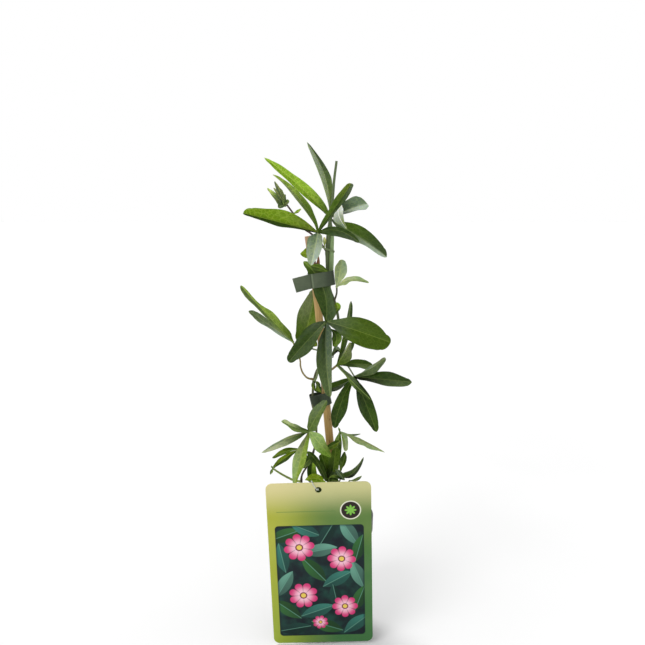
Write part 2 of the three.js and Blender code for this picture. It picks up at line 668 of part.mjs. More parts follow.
for (const [name, leaf] of Object.entries(LEAVES)) {
  addPiece(name, trimmed(leafSolid(leaf), around[leaf.stem]), leaf.colour);
}

const upperTie = tieSolid({ left: -10.8, right: 10.9, front: -7.6, back: 7.6 }, 13);
addPiece('tie_upper', upperTie.rotate([0, -TIE.slant, 0]).translate([-1, -2, 323.6]), COLOURS.tie);
const lowerTie = tieSolid({ left: -9.6, right: 9.4, front: -4.6, back: 4.8 }, 0);
addPiece('tie_lower', lowerTie.rotate([0, -TIE.slant, 0]).translate([-2, 0, 217.5]), COLOURS.tie);

addPiece('label', labelSolid(), COLOURS.label, 0.35);
addPiece('tag_loop', loopSolid(), COLOURS.loop, 0.2);

export default plant;
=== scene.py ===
"""A young passion flower vine in a nursery pot, dressed over its CAD frame.

Positions in the tables are in millimetres, in the row frame: X right, Y back, Z up.
"""

import logging
import math
import random
from dataclasses import dataclass, field
from enum import Enum
from typing import Callable, Iterable, Sequence

import bpy
from mathutils import Matrix, Vector, noise


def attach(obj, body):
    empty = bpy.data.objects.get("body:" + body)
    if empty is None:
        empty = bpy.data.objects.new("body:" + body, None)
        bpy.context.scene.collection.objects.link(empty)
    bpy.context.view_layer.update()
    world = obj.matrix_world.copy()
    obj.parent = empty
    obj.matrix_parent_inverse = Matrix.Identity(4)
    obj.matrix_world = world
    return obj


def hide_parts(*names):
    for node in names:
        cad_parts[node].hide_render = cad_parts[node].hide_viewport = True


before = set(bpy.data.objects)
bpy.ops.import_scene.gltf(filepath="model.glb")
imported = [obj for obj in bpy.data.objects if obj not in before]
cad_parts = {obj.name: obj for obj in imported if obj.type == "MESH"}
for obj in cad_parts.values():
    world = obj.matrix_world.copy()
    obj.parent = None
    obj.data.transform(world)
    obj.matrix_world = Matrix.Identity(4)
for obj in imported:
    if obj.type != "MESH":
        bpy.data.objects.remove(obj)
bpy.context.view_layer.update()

LOG = logging.getLogger("passion_vine")
MM = 0.001
BODY = "root"
BLADE_MAP = "BladeMap"
UPPER_TONE = "UpperTone"
UNDER_TONE = "UnderTone"
LABEL_MAP = "LabelMap"
MAP_SCALE = 0.01  # one unit of either map is 100 mm
FULL_TURN = 2 * math.pi
SEAT_GAP = 0.3  # air between a piece and what carries it, in millimetres
MERGE = 1e-6  # corners closer than this, in metres, are one

Point = tuple[float, float, float]
Colour = tuple[float, float, float]
Spot = tuple[float, float]


# ------------------------------------------------------------------ small tools


def srgb(red: int, green: int, blue: int) -> Colour:
    """A colour picked in display values, as linear light."""

    def linear(value: int) -> float:
        """One display value as a share of linear light."""
        share = value / 255
        return share / 12.92 if share <= 0.04045 else ((share + 0.055) / 1.055) ** 2.4

    return (linear(red), linear(green), linear(blue))


def times(colour: Colour, factor: float) -> Colour:
    """A colour made darker or lighter, up to white."""
    return tuple(min(1.0, part * factor) for part in colour)


def mm(point: Sequence[float]) -> Vector:
    """A point of the tables in metres."""
    return Vector(point) * MM


def deselect_all() -> None:
    """Leaves nothing selected."""
    bpy.ops.object.select_all(action="DESELECT")


def newest() -> bpy.types.Object:
    """The object that an operator has just made."""
    return bpy.context.view_layer.objects.active


def stand(name: str, data: bpy.types.ID) -> bpy.types.Object:
    """Puts new data into the scene as an object."""
    made = bpy.data.objects.new(name, data)
    bpy.context.scene.collection.objects.link(made)
    return made


def make_active(piece: bpy.types.Object) -> None:
    """Selects one object alone and makes it the active one."""
    deselect_all()
    piece.select_set(True)
    bpy.context.view_layer.objects.active = piece


def edit(piece: bpy.types.Object, mode: str = "EDIT") -> None:
    """Puts one object into edit mode, or back into object mode with mode OBJECT."""
    if mode == "EDIT":
        make_active(piece)
    bpy.ops.object.mode_set(mode=mode)


def apply_modifier(piece: bpy.types.Object, kind: str, **settings: object) -> None:
    """Adds a modifier, sets it and applies it.

    Args:
        piece: the mesh object.
        kind: the modifier's type.
        settings: its properties by name.
    """
    make_active(piece)
    modifier = piece.modifiers.new(kind.title(), kind)
    for name, value in settings.items():
        setattr(modifier, name, value)
    bpy.ops.object.modifier_apply(modifier=modifier.name)


def join(pieces: Sequence[bpy.types.Object], name: str) -> bpy.types.Object:
    """Joins objects into the first one and names it.

    Args:
        pieces: the mesh objects, whose slots and maps join too.
        name: the joined object's name.

    Returns:
        The joined object.
    """
    deselect_all()
    for piece in pieces:
        piece.select_set(True)
    bpy.context.view_layer.objects.active = pieces[0]
    if len(pieces) > 1:
        bpy.ops.object.join()
    joined = newest()
    joined.name = name
    joined.data.name = name
    return joined


def shade_smooth(piece: bpy.types.Object, angle: float = 40) -> None:
    """Smooth shading, with edges sharper than the angle in degrees left crisp."""
    make_active(piece)
    bpy.ops.object.shade_smooth_by_angle(angle=math.radians(angle))


def place(piece: bpy.types.Object, matrix: Matrix) -> None:
    """Moves a mesh to its place, with its object left at the origin."""
    piece.data.transform(matrix)
    piece.matrix_world = Matrix.Identity(4)


def settle(piece: bpy.types.Object) -> None:
    """Applies an object's place, turn and scale to its mesh."""
    make_active(piece)
    bpy.ops.object.transform_apply(location=True, rotation=True, scale=True)


def paint(piece: bpy.types.Object, *finishes: bpy.types.Material) -> None:
    """Gives a piece its material slots in order."""
    piece.data.materials.clear()
    for finish in finishes:
        piece.data.materials.append(finish)


def break_edges(piece: bpy.types.Object, angle: float) -> None:
    """Rounds a sheet's edges that are sharper than the angle in degrees, by a tenth of a millimetre."""
    settings = {"limit_method": "ANGLE", "angle_limit": math.radians(angle)}
    apply_modifier(piece, "BEVEL", width=0.1 * MM, segments=2, **settings)


def clean(piece: bpy.types.Object, threshold: float = MERGE) -> None:
    """Merges a mesh's doubles and turns its faces outwards."""
    edit(piece)
    bpy.ops.mesh.select_all(action="SELECT")
    bpy.ops.mesh.remove_doubles(threshold=threshold)
    bpy.ops.mesh.normals_make_consistent(inside=False)
    edit(piece, "OBJECT")


def drawn(
    name: str, lines: Sequence[Sequence[Sequence[float]]], closed: bool, flat: bool = True
) -> bpy.types.Curve:
    """A curve of short straight stretches.

    Args:
        name: the curve's name.
        lines: its lines of points, in millimetres.
        closed: whether each line closes on itself.
        flat: whether the curve lies in a plane.

    Returns:
        The curve.
    """
    curve = bpy.data.curves.new(name, "CURVE")
    curve.dimensions = "2D" if flat else "3D"
    for line in lines:
        spline = curve.splines.new("POLY")
        spline.points.add(len(line) - 1)
        for spot, point in zip(line, spline.points):
            point.co = (*mm((*spot, 0)[:3]), 1)
        spline.use_cyclic_u = closed
    return curve


def meshed(curve: bpy.types.Curve) -> bpy.types.Object:
    """The mesh that a curve gives, as an object of the scene."""
    make_active(stand(curve.name, curve))
    bpy.ops.object.convert(target="MESH")
    return newest()


def finish_piece(piece: bpy.types.Object, slot: str, *nodes: str) -> None:
    """Rides a finished piece on the body, hides the CAD nodes that it stands for and reports it.

    Args:
        piece: the finished mesh object.
        slot: not used.
        nodes: the CAD nodes that it stands for.
    """
    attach(piece, BODY)
    if nodes:
        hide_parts(*nodes)
    faces = len(piece.data.polygons)
    LOG.info("%s: %d faces, replaces %s", piece.name, faces, ", ".join(nodes) or "nothing")


def smooth_path(points: Sequence[Point], step: float, endless: bool = False) -> list[Vector]:
    """Points about every step along a centripetal curve through the given points.

    Args:
        points: the points that the curve passes.
        step: the spacing in millimetres.
        endless: whether the curve closes on itself.

    Returns:
        The points, in millimetres.
    """
    knots = [Vector(point) for point in points]
    if endless:
        knots = [knots[-1], *knots, knots[0], knots[1]]
    else:
        knots = [2 * knots[0] - knots[1], *knots, 2 * knots[-1] - knots[-2]]
    line: list[Vector] = []
    for p0, p1, p2, p3 in zip(knots, knots[1:], knots[2:], knots[3:]):
        t1 = (p1 - p0).length ** 0.5
        t2 = t1 + (p2 - p1).length ** 0.5
        t3 = t2 + (p3 - p2).length ** 0.5
        count = max(2, round((p2 - p1).length / step))
        for i in range(count):
            t = t1 + (t2 - t1) * i / count
            a1 = p0.lerp(p1, t / t1)
            a2 = p1.lerp(p2, (t - t1) / (t2 - t1))
            a3 = p2.lerp(p3, (t - t2) / (t3 - t2))
            b1 = a1.lerp(a2, t / t2)
            b2 = a2.lerp(a3, (t - t1) / (t3 - t1))
            line.append(b1.lerp(b2, (t - t1) / (t2 - t1)))
    if not endless:
        line.append(knots[-2])
    return line


def smooth_value(values: Sequence[float], along: float) -> float:
    """A value from a smooth curve through evenly spaced values.

    Args:
        values: the values that the curve passes.
        along: the place on it, from 0 to 1.

    Returns:
        The value there.
    """
    spot = along * (len(values) - 1)
    i = min(int(spot), len(values) - 2)
    t = spot - i
    p0, p1 = values[max(i - 1, 0)], values[i]
    p2, p3 = values[i + 1], values[min(i + 2, len(values) - 1)]
    return p1 + 0.5 * t * (p2 - p0 + t * (2 * p0 - 5 * p1 + 4 * p2 - p3 + t * (3 * (p1 - p2) + p3 - p0)))


def tube(
    name: str,
    line: Sequence[Vector],
    radius: Callable[[Vector, float], float],
    resolution: int = 2,
    endless: bool = False,
) -> bpy.types.Object:
    """A round stem or thread along a line, as a closed mesh.

    Args:
        name: the object's name.
        line: its middle line, in millimetres.
        radius: gives the radius in millimetres for a point and how far along it is, 0 to 1.
        resolution: the roundness of the section.
        endless: whether the line closes on itself.

    Returns:
        The mesh object.
    """
    curve = drawn(name, [line], endless, flat=False)
    curve.bevel_depth = MM
    curve.bevel_resolution = resolution
    curve.use_fill_caps = True
    for i, point in enumerate(curve.splines[0].points):
        point.radius = radius(line[i], i / (len(line) - 1))
    piece = meshed(curve)
    clean(piece)
    return piece


# ------------------------------------------------------------------ materials


class Finish:
    """A procedural material under construction, with short names for the usual nodes."""

    def __init__(self, name: str) -> None:
        """Makes an empty material with its shader and output."""
        self.material = bpy.data.materials.new(name)
        self.material.use_nodes = True
        self.tree = self.material.node_tree
        self.tree.nodes.clear()
        self.output = self.tree.nodes.new("ShaderNodeOutputMaterial")
        self.shader = self.tree.nodes.new("ShaderNodeBsdfPrincipled")
        self.tree.links.new(self.shader.outputs[0], self.output.inputs[0])

    def put(self, socket: bpy.types.NodeSocket, value: object) -> None:
        """Sets a socket to a number, a colour or another node's output."""
        if isinstance(value, bpy.types.NodeSocket):
            self.tree.links.new(value, socket)
        elif isinstance(value, tuple) and len(value) == 3 and len(socket.default_value) == 4:
            socket.default_value = (*value, 1)
        else:
            socket.default_value = value

    def set(self, **inputs: object) -> "Finish":
        """Sets inputs of the shader, with _ for a space in their names."""
        for name, value in inputs.items():
            self.put(self.shader.inputs[name.replace("_", " ")], value)
        return self

    def node(
        self, kind: str, inputs: dict[object, object] | None = None, **properties: object
    ) -> bpy.types.Node:
        """Adds a node with its properties and inputs."""
        made = self.tree.nodes.new(kind)
        for name, value in properties.items():
            setattr(made, name, value)
        for key, value in (inputs or {}).items():
            self.put(made.inputs[key], value)
        return made

    def math(self, operation: str, *values: object, clamp: bool = False) -> bpy.types.NodeSocket:
        """The result of a sum on one to three values."""
        inputs = dict(enumerate(values))
        return self.node("ShaderNodeMath", inputs, operation=operation, use_clamp=clamp).outputs[0]

    def mix(self, share: object, first: object, second: object, blend: str = "MIX") -> bpy.types.NodeSocket:
        """Two colours mixed by a share."""
        made = self.node("ShaderNodeMix", data_type="RGBA", blend_type=blend)
        self.put(made.inputs[0], share)
        self.put(made.inputs[6], first)
        self.put(made.inputs[7], second)
        return made.outputs[2]

    def step(
        self, value: object, low: float, high: float, to_low: float = 0, to_high: float = 1
    ) -> bpy.types.NodeSocket:
        """A smooth change from to_low to to_high as the value goes from low to high."""
        inputs = {0: value, 1: low, 2: high, 3: to_low, 4: to_high}
        return self.node("ShaderNodeMapRange", inputs, interpolation_type="SMOOTHSTEP").outputs[0]

    def noise(
        self, scale: float, detail: float = 3, stretch: Point = (1, 1, 1), vector: object = None
    ) -> bpy.types.NodeSocket:
        """Noise from 0 to 1 over the piece, at a scale per metre unless a vector is given."""
        source = vector or self.place
        if stretch != (1, 1, 1):
            source = self.node("ShaderNodeMapping", {0: source, 3: stretch}).outputs[0]
        inputs = {"Vector": source, "Scale": scale, "Detail": detail}
        return self.node("ShaderNodeTexNoise", inputs).outputs[0]

    @property
    def place(self) -> bpy.types.NodeSocket:
        """The piece's own coordinates."""
        return self.node("ShaderNodeTexCoord").outputs["Object"]

    @property
    def height(self) -> bpy.types.NodeSocket:
        """The height over the floor, in metres."""
        return self.node("ShaderNodeSeparateXYZ", {0: self.place}).outputs[2]

    def bump(self, height: object, strength: float, distance: float) -> "Finish":
        """Gives the shader a bump from a height."""
        made = self.node("ShaderNodeBump", {"Height": height, "Strength": strength, "Distance": distance})
        return self.set(Normal=made.outputs[0])


class Tone(Enum):
    """The colours painted on leaf surfaces, from deep shade to bare silver: the leaves' own greens, with
    painted shade in the darkest tones, painted backlit glow in the bright yellow-greens and painted sheen in
    the blue-greys, silvers and whites.
    """

    BLACKISH = srgb(30, 46, 18)
    SHADE = srgb(46, 66, 22)
    DEEP = srgb(54, 78, 18)
    DARK = srgb(60, 78, 42)
    GREEN = srgb(72, 98, 22)
    OLIVE = srgb(96, 114, 26)
    LEAF = srgb(104, 130, 50)
    LIME = srgb(116, 150, 20)
    BRIGHT = srgb(142, 176, 46)
    YELLOW = srgb(132, 158, 12)
    MOSS = srgb(106, 130, 66)
    FRESH = srgb(126, 150, 56)
    SOFT = srgb(148, 174, 106)
    PALE = srgb(172, 184, 136)
    DUSTY = srgb(132, 152, 108)
    GREY = srgb(92, 108, 74)
    SLATE = srgb(78, 94, 76)
    BLUE = srgb(98, 118, 92)
    SHEEN = srgb(126, 144, 116)
    SILVER = srgb(170, 184, 168)
    WHITE = srgb(214, 218, 196)
    ASH = srgb(158, 164, 132)
    BUFF = srgb(206, 196, 122)
    FIR = srgb(66, 86, 37)
    IVY = srgb(76, 94, 54)
    MUTED = srgb(104, 114, 76)
    KHAKI = srgb(116, 124, 80)
    SAGE = srgb(144, 158, 118)
    PINE = srgb(40, 63, 8)
    SEDGE = srgb(122, 136, 93)
    FERN = srgb(88, 108, 54)
    MEADOW = srgb(64, 87, 11)
    HERB = srgb(85, 107, 35)
    CLOVER = srgb(90, 112, 9)
    MOOR = srgb(67, 81, 55)
    HAY = srgb(144, 160, 80)
    GRASS = srgb(109, 139, 10)
    SPRING = srgb(95, 128, 36)
    NIGHT = srgb(12, 20, 8)
    MIST = srgb(138, 151, 129)
    CELERY = srgb(172, 191, 110)
    CREAM = srgb(199, 206, 157)
    SNOW = srgb(244, 246, 240)


@dataclass(frozen=True)
class LeafFinish:
    """The two sides of one kind of leaf, over the tones painted on its blades."""

    name: str
    roughness: float
    gloss: float = 0.08
    net: float = 0.4
    rib: float = 0.85
    vein_spacing: float = 4.2  # millimetres between side veins
    meshes: tuple[float, float] = (28.0, 90.0)  # the coarse and the fine net's scales

    def side(self, upper: bool) -> bpy.types.Material:
        """Builds the material of one side.

        Args:
            upper: True for the upper side, False for the underside with its raised veins.

        Returns:
            The material.
        """
        f = Finish(f"{self.name}_{'upper' if upper else 'under'}")
        flat = f.node("ShaderNodeUVMap", uv_map=BLADE_MAP).outputs[0]
        spread = f.node("ShaderNodeSeparateXYZ", {0: flat})
        across = f.math("MULTIPLY", spread.outputs[0], 1 / MAP_SCALE)
        along = f.math("MULTIPLY", spread.outputs[1], 1 / MAP_SCALE)
        off = f.math("ABSOLUTE", across)
        # ground: the lobe's painted tones, with painted shade, painted sheen and painted backlit glow in them
        ground = f.node("ShaderNodeVertexColor", layer_name=UPPER_TONE if upper else UNDER_TONE).outputs[0]

        wander = f.noise(14, 2, vector=flat)
        run = f.math("MULTIPLY_ADD", off, -0.85, along)
        run = f.math("MULTIPLY_ADD", wander, 3.0, run)
        run = f.math("MULTIPLY_ADD", f.math("GREATER_THAN", across, 0), 0.5 * self.vein_spacing, run)
        phase = f.math("PINGPONG", run, 0.5 * self.vein_spacing)
        side_veins = f.math("MULTIPLY", f.step(phase, 0.3, 0.04), f.step(off, 0.2, 1.2, 0.8, 0.5))
        midrib = f.step(off, 0.5, 0.2)
        nets = [{"Vector": flat, "Scale": scale} for scale in self.meshes]
        coarse, fine = (
            f.node("ShaderNodeTexVoronoi", inputs, feature="DISTANCE_TO_EDGE").outputs[0] for inputs in nets
        )
        cell = f.node("ShaderNodeTexVoronoi", nets[0]).outputs[1]
        fine = f.math("MULTIPLY", f.step(fine, 0.12, 0.0), 0.35)
        net = f.math("MAXIMUM", f.step(coarse, 0.15, 0.0), fine)
        veins = f.math("MAXIMUM", midrib, f.math("MULTIPLY", side_veins, 0.7))

        bright = f.node("ShaderNodeRGBToBW", {0: ground}).outputs[0]
        net_strength = f.step(bright, 0.05, 0.25, self.net * 0.6, self.net * 1.4)
        chalk = f.node("ShaderNodeSeparateColor", {0: ground}).outputs[2]
        net_strength = f.math("MULTIPLY", net_strength, f.step(chalk, 0.35, 0.12, 0.25, 1.0))
        # painted sheen: streaks stretched along the blade are lightened towards pale blue-grey, standing in
        # for reflections
        painted_sheen_streaks = f.step(f.noise(16, 3, (1, 0.22, 1), vector=flat), 0.52, 0.74)

        cloud = f.noise(6, 4, vector=flat)
        speck = f.noise(45, 3, vector=flat)
        shaded = f.mix(1.0, ground, (0.55, 0.66, 0.5), "MULTIPLY")
        lifted = f.mix(0.012, f.mix(1.0, ground, (1.35, 1.28, 1.3), "MULTIPLY"), (1, 1, 1))
        vein_ink = f.mix(1.0, ground, (1.5, 1.4, 1.35), "MULTIPLY")
        vein_ink = f.mix(f.step(bright, 0.03, 0.3, 0.09, 0.3), vein_ink, srgb(198, 216, 120))
        colour = f.mix(f.step(cloud, 0.58, 0.3, 0.0, 0.55), ground, shaded)
        cell_tone = f.node("ShaderNodeRGBToBW", {0: cell}).outputs[0]
        colour = f.mix(f.step(cell_tone, 0.25, 0.75, 0.0, 0.2), colour, shaded)
        colour = f.mix(f.step(speck, 0.5, 0.75, 0.0, 0.35), colour, lifted)
        # the painted sheen's pale blue-grey colour
        glow = f.mix(0.045, f.mix(1.0, ground, (1.35, 1.3, 1.5), "MULTIPLY"), (0.8, 0.92, 0.86))
        colour = f.mix(f.math("MULTIPLY", painted_sheen_streaks, 0.6), colour, glow)
        colour = f.mix(f.math("MULTIPLY", net, net_strength), colour, vein_ink)
        colour = f.mix(f.math("MULTIPLY", veins, self.rib if upper else self.rib * 1.3), colour, vein_ink)
        relief = f.math("MULTIPLY", veins, -1.0 if upper else 1.4)
        relief = f.math("MULTIPLY_ADD", net, -0.35, relief)
        relief = f.math("MULTIPLY_ADD", f.noise(160, 2, vector=flat), 0.35, relief)
        rough = f.step(speck, 0.2, 0.8, self.roughness - 0.07, self.roughness + 0.08)
        f.set(Base_Color=colour, Roughness=rough if upper else 0.62)
        f.set(Subsurface_Weight=0.2, Subsurface_Scale=MM, Subsurface_Radius=(0.9, 1.3, 0.25))
        f.set(Specular_IOR_Level=self.gloss if upper else 0.1).bump(relief, 0.35, 0.3 * MM)
        return f.material

    def both(self) -> tuple[bpy.types.Material, bpy.types.Material]:
        """The upper side's and the underside's material."""
        return self.side(True), self.side(False)


MATURE = LeafFinish("mature_leaf", roughness=0.4)
YOUNG = LeafFinish("young_leaf", roughness=0.6, gloss=0.08, net=0.32, rib=0.5)
YELLOW = LeafFinish("yellow_leaf", roughness=0.42)


@dataclass(frozen=True)
class StemFinish:
    """A stem that changes from woody to green as it climbs: its colours, and the heights where they turn."""

    name: str
    low: Colour
    middle: Colour
    high: Colour
    turns: Point = (0.13, 0.2, 0.33)  # in metres

    def material(self) -> bpy.types.Material:
        """Builds the material."""
        f = Finish(self.name)
        colour = f.mix(f.step(f.height, self.turns[0], self.turns[1]), self.low, self.middle)
        colour = f.mix(f.step(f.height, self.turns[1], self.turns[2]), colour, self.high)
        grain = f.noise(420, 4, (1, 1, 0.12))
        colour = f.mix(f.step(grain, 0.35, 0.75, 0.0, 0.4), colour, times(self.middle, 0.45))
        colour = f.mix(f.step(f.noise(900, 2), 0.6, 0.75, 0.0, 0.35), colour, times(self.high, 1.9))
        f.set(Base_Color=colour, Roughness=f.step(grain, 0.2, 0.8, 0.42, 0.62))
        return f.bump(grain, 0.4, 0.3 * MM).material


@dataclass(frozen=True)
class BambooFinish:
    """Smooth tan bamboo, golden low down and red-brown at its weathered top."""

    golden: float = 0.25  # heights in metres: below this it turns golden
    weathered: float = 0.322
    bare: float = 0.345
    shaded: tuple[float, float, float, float] = (0.244, 0.252, 0.268, 0.278)  # behind the large leaf

    def material(self) -> bpy.types.Material:
        """Builds the material."""
        f = Finish("bamboo")
        fibre = f.noise(900, 3, (1, 1, 0.02))
        cloud = f.noise(28, 3, (1, 1, 0.35))
        colour = f.mix(f.step(fibre, 0.3, 0.75), srgb(188, 156, 100), srgb(156, 124, 74))
        colour = f.mix(f.step(cloud, 0.42, 0.7, 0.0, 0.65), colour, srgb(204, 174, 118))
        colour = f.mix(f.step(f.height, self.golden, 0.12, 0.0, 0.8), colour, srgb(146, 112, 48))
        colour = f.mix(f.step(f.height, self.weathered, 0.34), colour, srgb(128, 82, 54))
        colour = f.mix(f.step(f.height, self.bare, 0.354), colour, srgb(182, 146, 112))
        # painted shadow: a darker band where the large leaf shades the cane
        foot, full, fading, top = self.shaded
        shadow = f.math("MULTIPLY", f.step(f.height, foot, full), f.step(f.height, top, fading))
        colour = f.mix(f.math("MULTIPLY", shadow, 0.75), colour, srgb(92, 76, 44))
        spots = f.step(f.noise(240, 2, (1, 1, 0.5)), 0.68, 0.76, 0.0, 0.55)
        colour = f.mix(spots, colour, srgb(96, 66, 38))
        f.set(Base_Color=colour, Roughness=f.step(fibre, 0.2, 0.8, 0.4, 0.55), Specular_IOR_Level=0.25)
        return f.bump(fibre, 0.25, 0.2 * MM).material


@dataclass(frozen=True)
class PeatFinish:
    """Crumbly peat, or what lies in it, between two browns."""

    name: str
    dark: Colour
    light: Colour

    def material(self) -> bpy.types.Material:
        """Builds the material."""
        f = Finish(self.name)
        crumb = f.noise(420, 6)
        lump = f.noise(90, 4)
        colour = f.mix(f.step(crumb, 0.35, 0.68), self.dark, self.light)
        colour = f.mix(f.step(lump, 0.5, 0.8, 0.0, 0.6), colour, times(self.dark, 0.5))
        f.set(Base_Color=colour, Roughness=0.95, Specular_IOR_Level=0.2)
        return f.bump(f.math("ADD", crumb, lump), 0.9, 1.2 * MM).material


@dataclass(frozen=True)
class PotFinish:
    """Black moulded plastic, dusty near its foot and scuffed on its band."""

    dusty: float = 0.032  # the dust thins out up to this height, in metres

    def material(self) -> bpy.types.Material:
        """Builds the material."""
        f = Finish("pot_plastic")
        grain = f.noise(2600, 2)
        cloud = f.noise(30, 4)
        scuff = f.step(f.noise(260, 3, (1, 1, 0.15)), 0.6, 0.72, 0.0, 0.22)
        colour = f.mix(f.step(cloud, 0.3, 0.75), srgb(24, 25, 26), srgb(36, 37, 38))
        dust = f.math("MULTIPLY", f.step(f.height, self.dusty, 0.002), f.step(cloud, 0.4, 0.75, 0.1, 0.55))
        colour = f.mix(f.math("MAXIMUM", dust, scuff), colour, srgb(104, 92, 76))
        rough = f.math("ADD", f.step(grain, 0.3, 0.7, 0.40, 0.52), f.math("MULTIPLY", dust, 0.3))
        f.set(Base_Color=colour, Roughness=rough)
        return f.bump(f.math("ADD", grain, f.math("MULTIPLY", cloud, 0.5)), 0.12, 0.2 * MM).material


@dataclass(frozen=True)
class TapeFinish:
    """Dark grey-green plant tape, soft and slightly waxy, with painted shade darkening it towards one side
    and, where set, a painted highlight along a cut end.
    """

    name: str
    dark: Colour
    light: Colour
    shade_span: tuple[float, float]  # where along X, in metres, the painted shade on one side begins and is full
    end: tuple[float, float] | None = None  # the height and the X of the painted highlight along the front layer's cut end
    lean: float = 0.13

    def material(self) -> bpy.types.Material:
        """Builds the material."""
        f = Finish(self.name)
        spread, depth = f.node("ShaderNodeSeparateXYZ", {0: f.place}).outputs[:2]
        cloud = f.noise(60, 3)
        rib = f.noise(1800, 2, (0.1, 0.1, 1))
        colour = f.mix(f.step(cloud, 0.3, 0.75), self.dark, self.light)
        colour = f.mix(f.step(rib, 0.45, 0.7, 0.0, 0.2), colour, times(self.light, 1.5))
        # painted shade: darker towards one side along X
        colour = f.mix(f.step(spread, *self.shade_span, 0.0, 0.8), colour, times(self.dark, 0.62))
        # painted highlight: a pale line on the front along the front layer's cut end
        if self.end:
            level, spot = self.end
            across = f.math("MULTIPLY_ADD", f.math("SUBTRACT", f.height, level), self.lean, spread)
            first, last = f.step(across, spot, spot + 0.0003), f.step(across, spot + 0.0019, spot + 0.0008)
            front = f.step(depth, -0.004, -0.006, 0.0, 0.75)
            scuff = f.math("MULTIPLY", f.math("MULTIPLY", first, last), front)
            colour = f.mix(scuff, colour, times(self.light, 1.8))
        f.set(Base_Color=colour, Roughness=f.step(rib, 0.2, 0.8, 0.46, 0.58), Specular_IOR_Level=0.25)
        return f.bump(rib, 0.25, 0.15 * MM).material


@dataclass(frozen=True)
class ThreadFinish:
    """The clear thread of the label's loop, cloudy in places."""

    clear: float = 0.4  # the share of light that it lets through

    def material(self) -> bpy.types.Material:
        """Builds the material."""
        f = Finish("clear_thread")
        cloud = f.noise(700, 2)
        colour = f.mix(f.step(cloud, 0.3, 0.7), srgb(198, 204, 196), srgb(228, 232, 226))
        f.set(Base_Color=colour, Roughness=f.step(cloud, 0.2, 0.8, 0.12, 0.25))
        return f.set(Transmission_Weight=self.clear).material


# ------------------------------------------------------------------ leaves


SLIVER = 0.015  # the least share of its half width that a lobe keeps, at its foot and tip


@dataclass(frozen=True)
class Lobe:
    """One lobe of a leaf, from the leaf's heart through via to its tip.

    Its left half lies on the left of a walk from heart to tip over the upper side. Tones are given for
    the left and the right half, or for left and right at the foot and then left and right at the tip.
    """

    via: Point
    tip: Point
    width: float
    face: Point
    fold: float
    # tones paint light into each half's colour: painted shade, painted sheen and painted backlit glow
    tones: tuple[Tone, ...] = (Tone.DARK, Tone.DARK)
    back: tuple[Tone, ...] = (Tone.GREY, Tone.GREY)
    peak: float = 0.56
    taper: float = 0.95
    blunt: float = 0.72
    foot: float = 0.16
    camber: float = -0.12
    wave: float = 0.45
    waves: float = 2.0
    start: Point | None = None
    fade: tuple[float, float] = (0.15, 0.85)  # where the tones pass from the foot's to the tip's
    edges: tuple[tuple[int, ...], ...] = ()  # half widths left and right, in percent, at every tenth

    def half_width(self, along: float, side: int) -> float:
        """Half the width in millimetres at a place along the lobe; side is 0 on the left, 1 on the right."""
        if self.edges:
            row = self.edges[side]
            if along > 0.9:
                share = row[-1] / 100 * max(0.0, 1 - (along * 10 - 9) ** 2) ** self.blunt
            else:
                share = smooth_value((*row, 0), along) / 100
        else:
            bend = math.log(0.5) / math.log(self.peak)
            swell = max(0.0, math.sin(math.pi * along**bend))
            share = swell ** (self.taper if along < self.peak else self.blunt)
            share = max(share, self.foot * (1 - along) ** 3)
        return self.width / 2 * max(SLIVER, share)

    def mixed(self, tones: tuple[Tone, ...], left: float, along: float) -> Vector:
        """The tone at a place, from how far it is to the left and how far along."""
        foot_left, foot_right, tip_left, tip_right = tones if len(tones) == 4 else tones * 2
        far = max(0.0, min(1.0, (along - self.fade[0]) / (self.fade[1] - self.fade[0])))
        far = far * far * (3 - 2 * far)
        near_tone = Vector(foot_right.value).lerp(Vector(foot_left.value), left)
        far_tone = Vector(tip_right.value).lerp(Vector(tip_left.value), left)
        return near_tone.lerp(far_tone, far)


@dataclass(frozen=True)
class BladeShape:
    """How finely a lobe is divided and how thick its blade is, in millimetres."""

    rows: int = 34
    columns: int = 14
    thickness: float = 0.45
    keel: float = 0.14  # how far the fold is rounded at the midrib, as a share of half the width
    groove: float = 0.12
    rib: float = 0.42


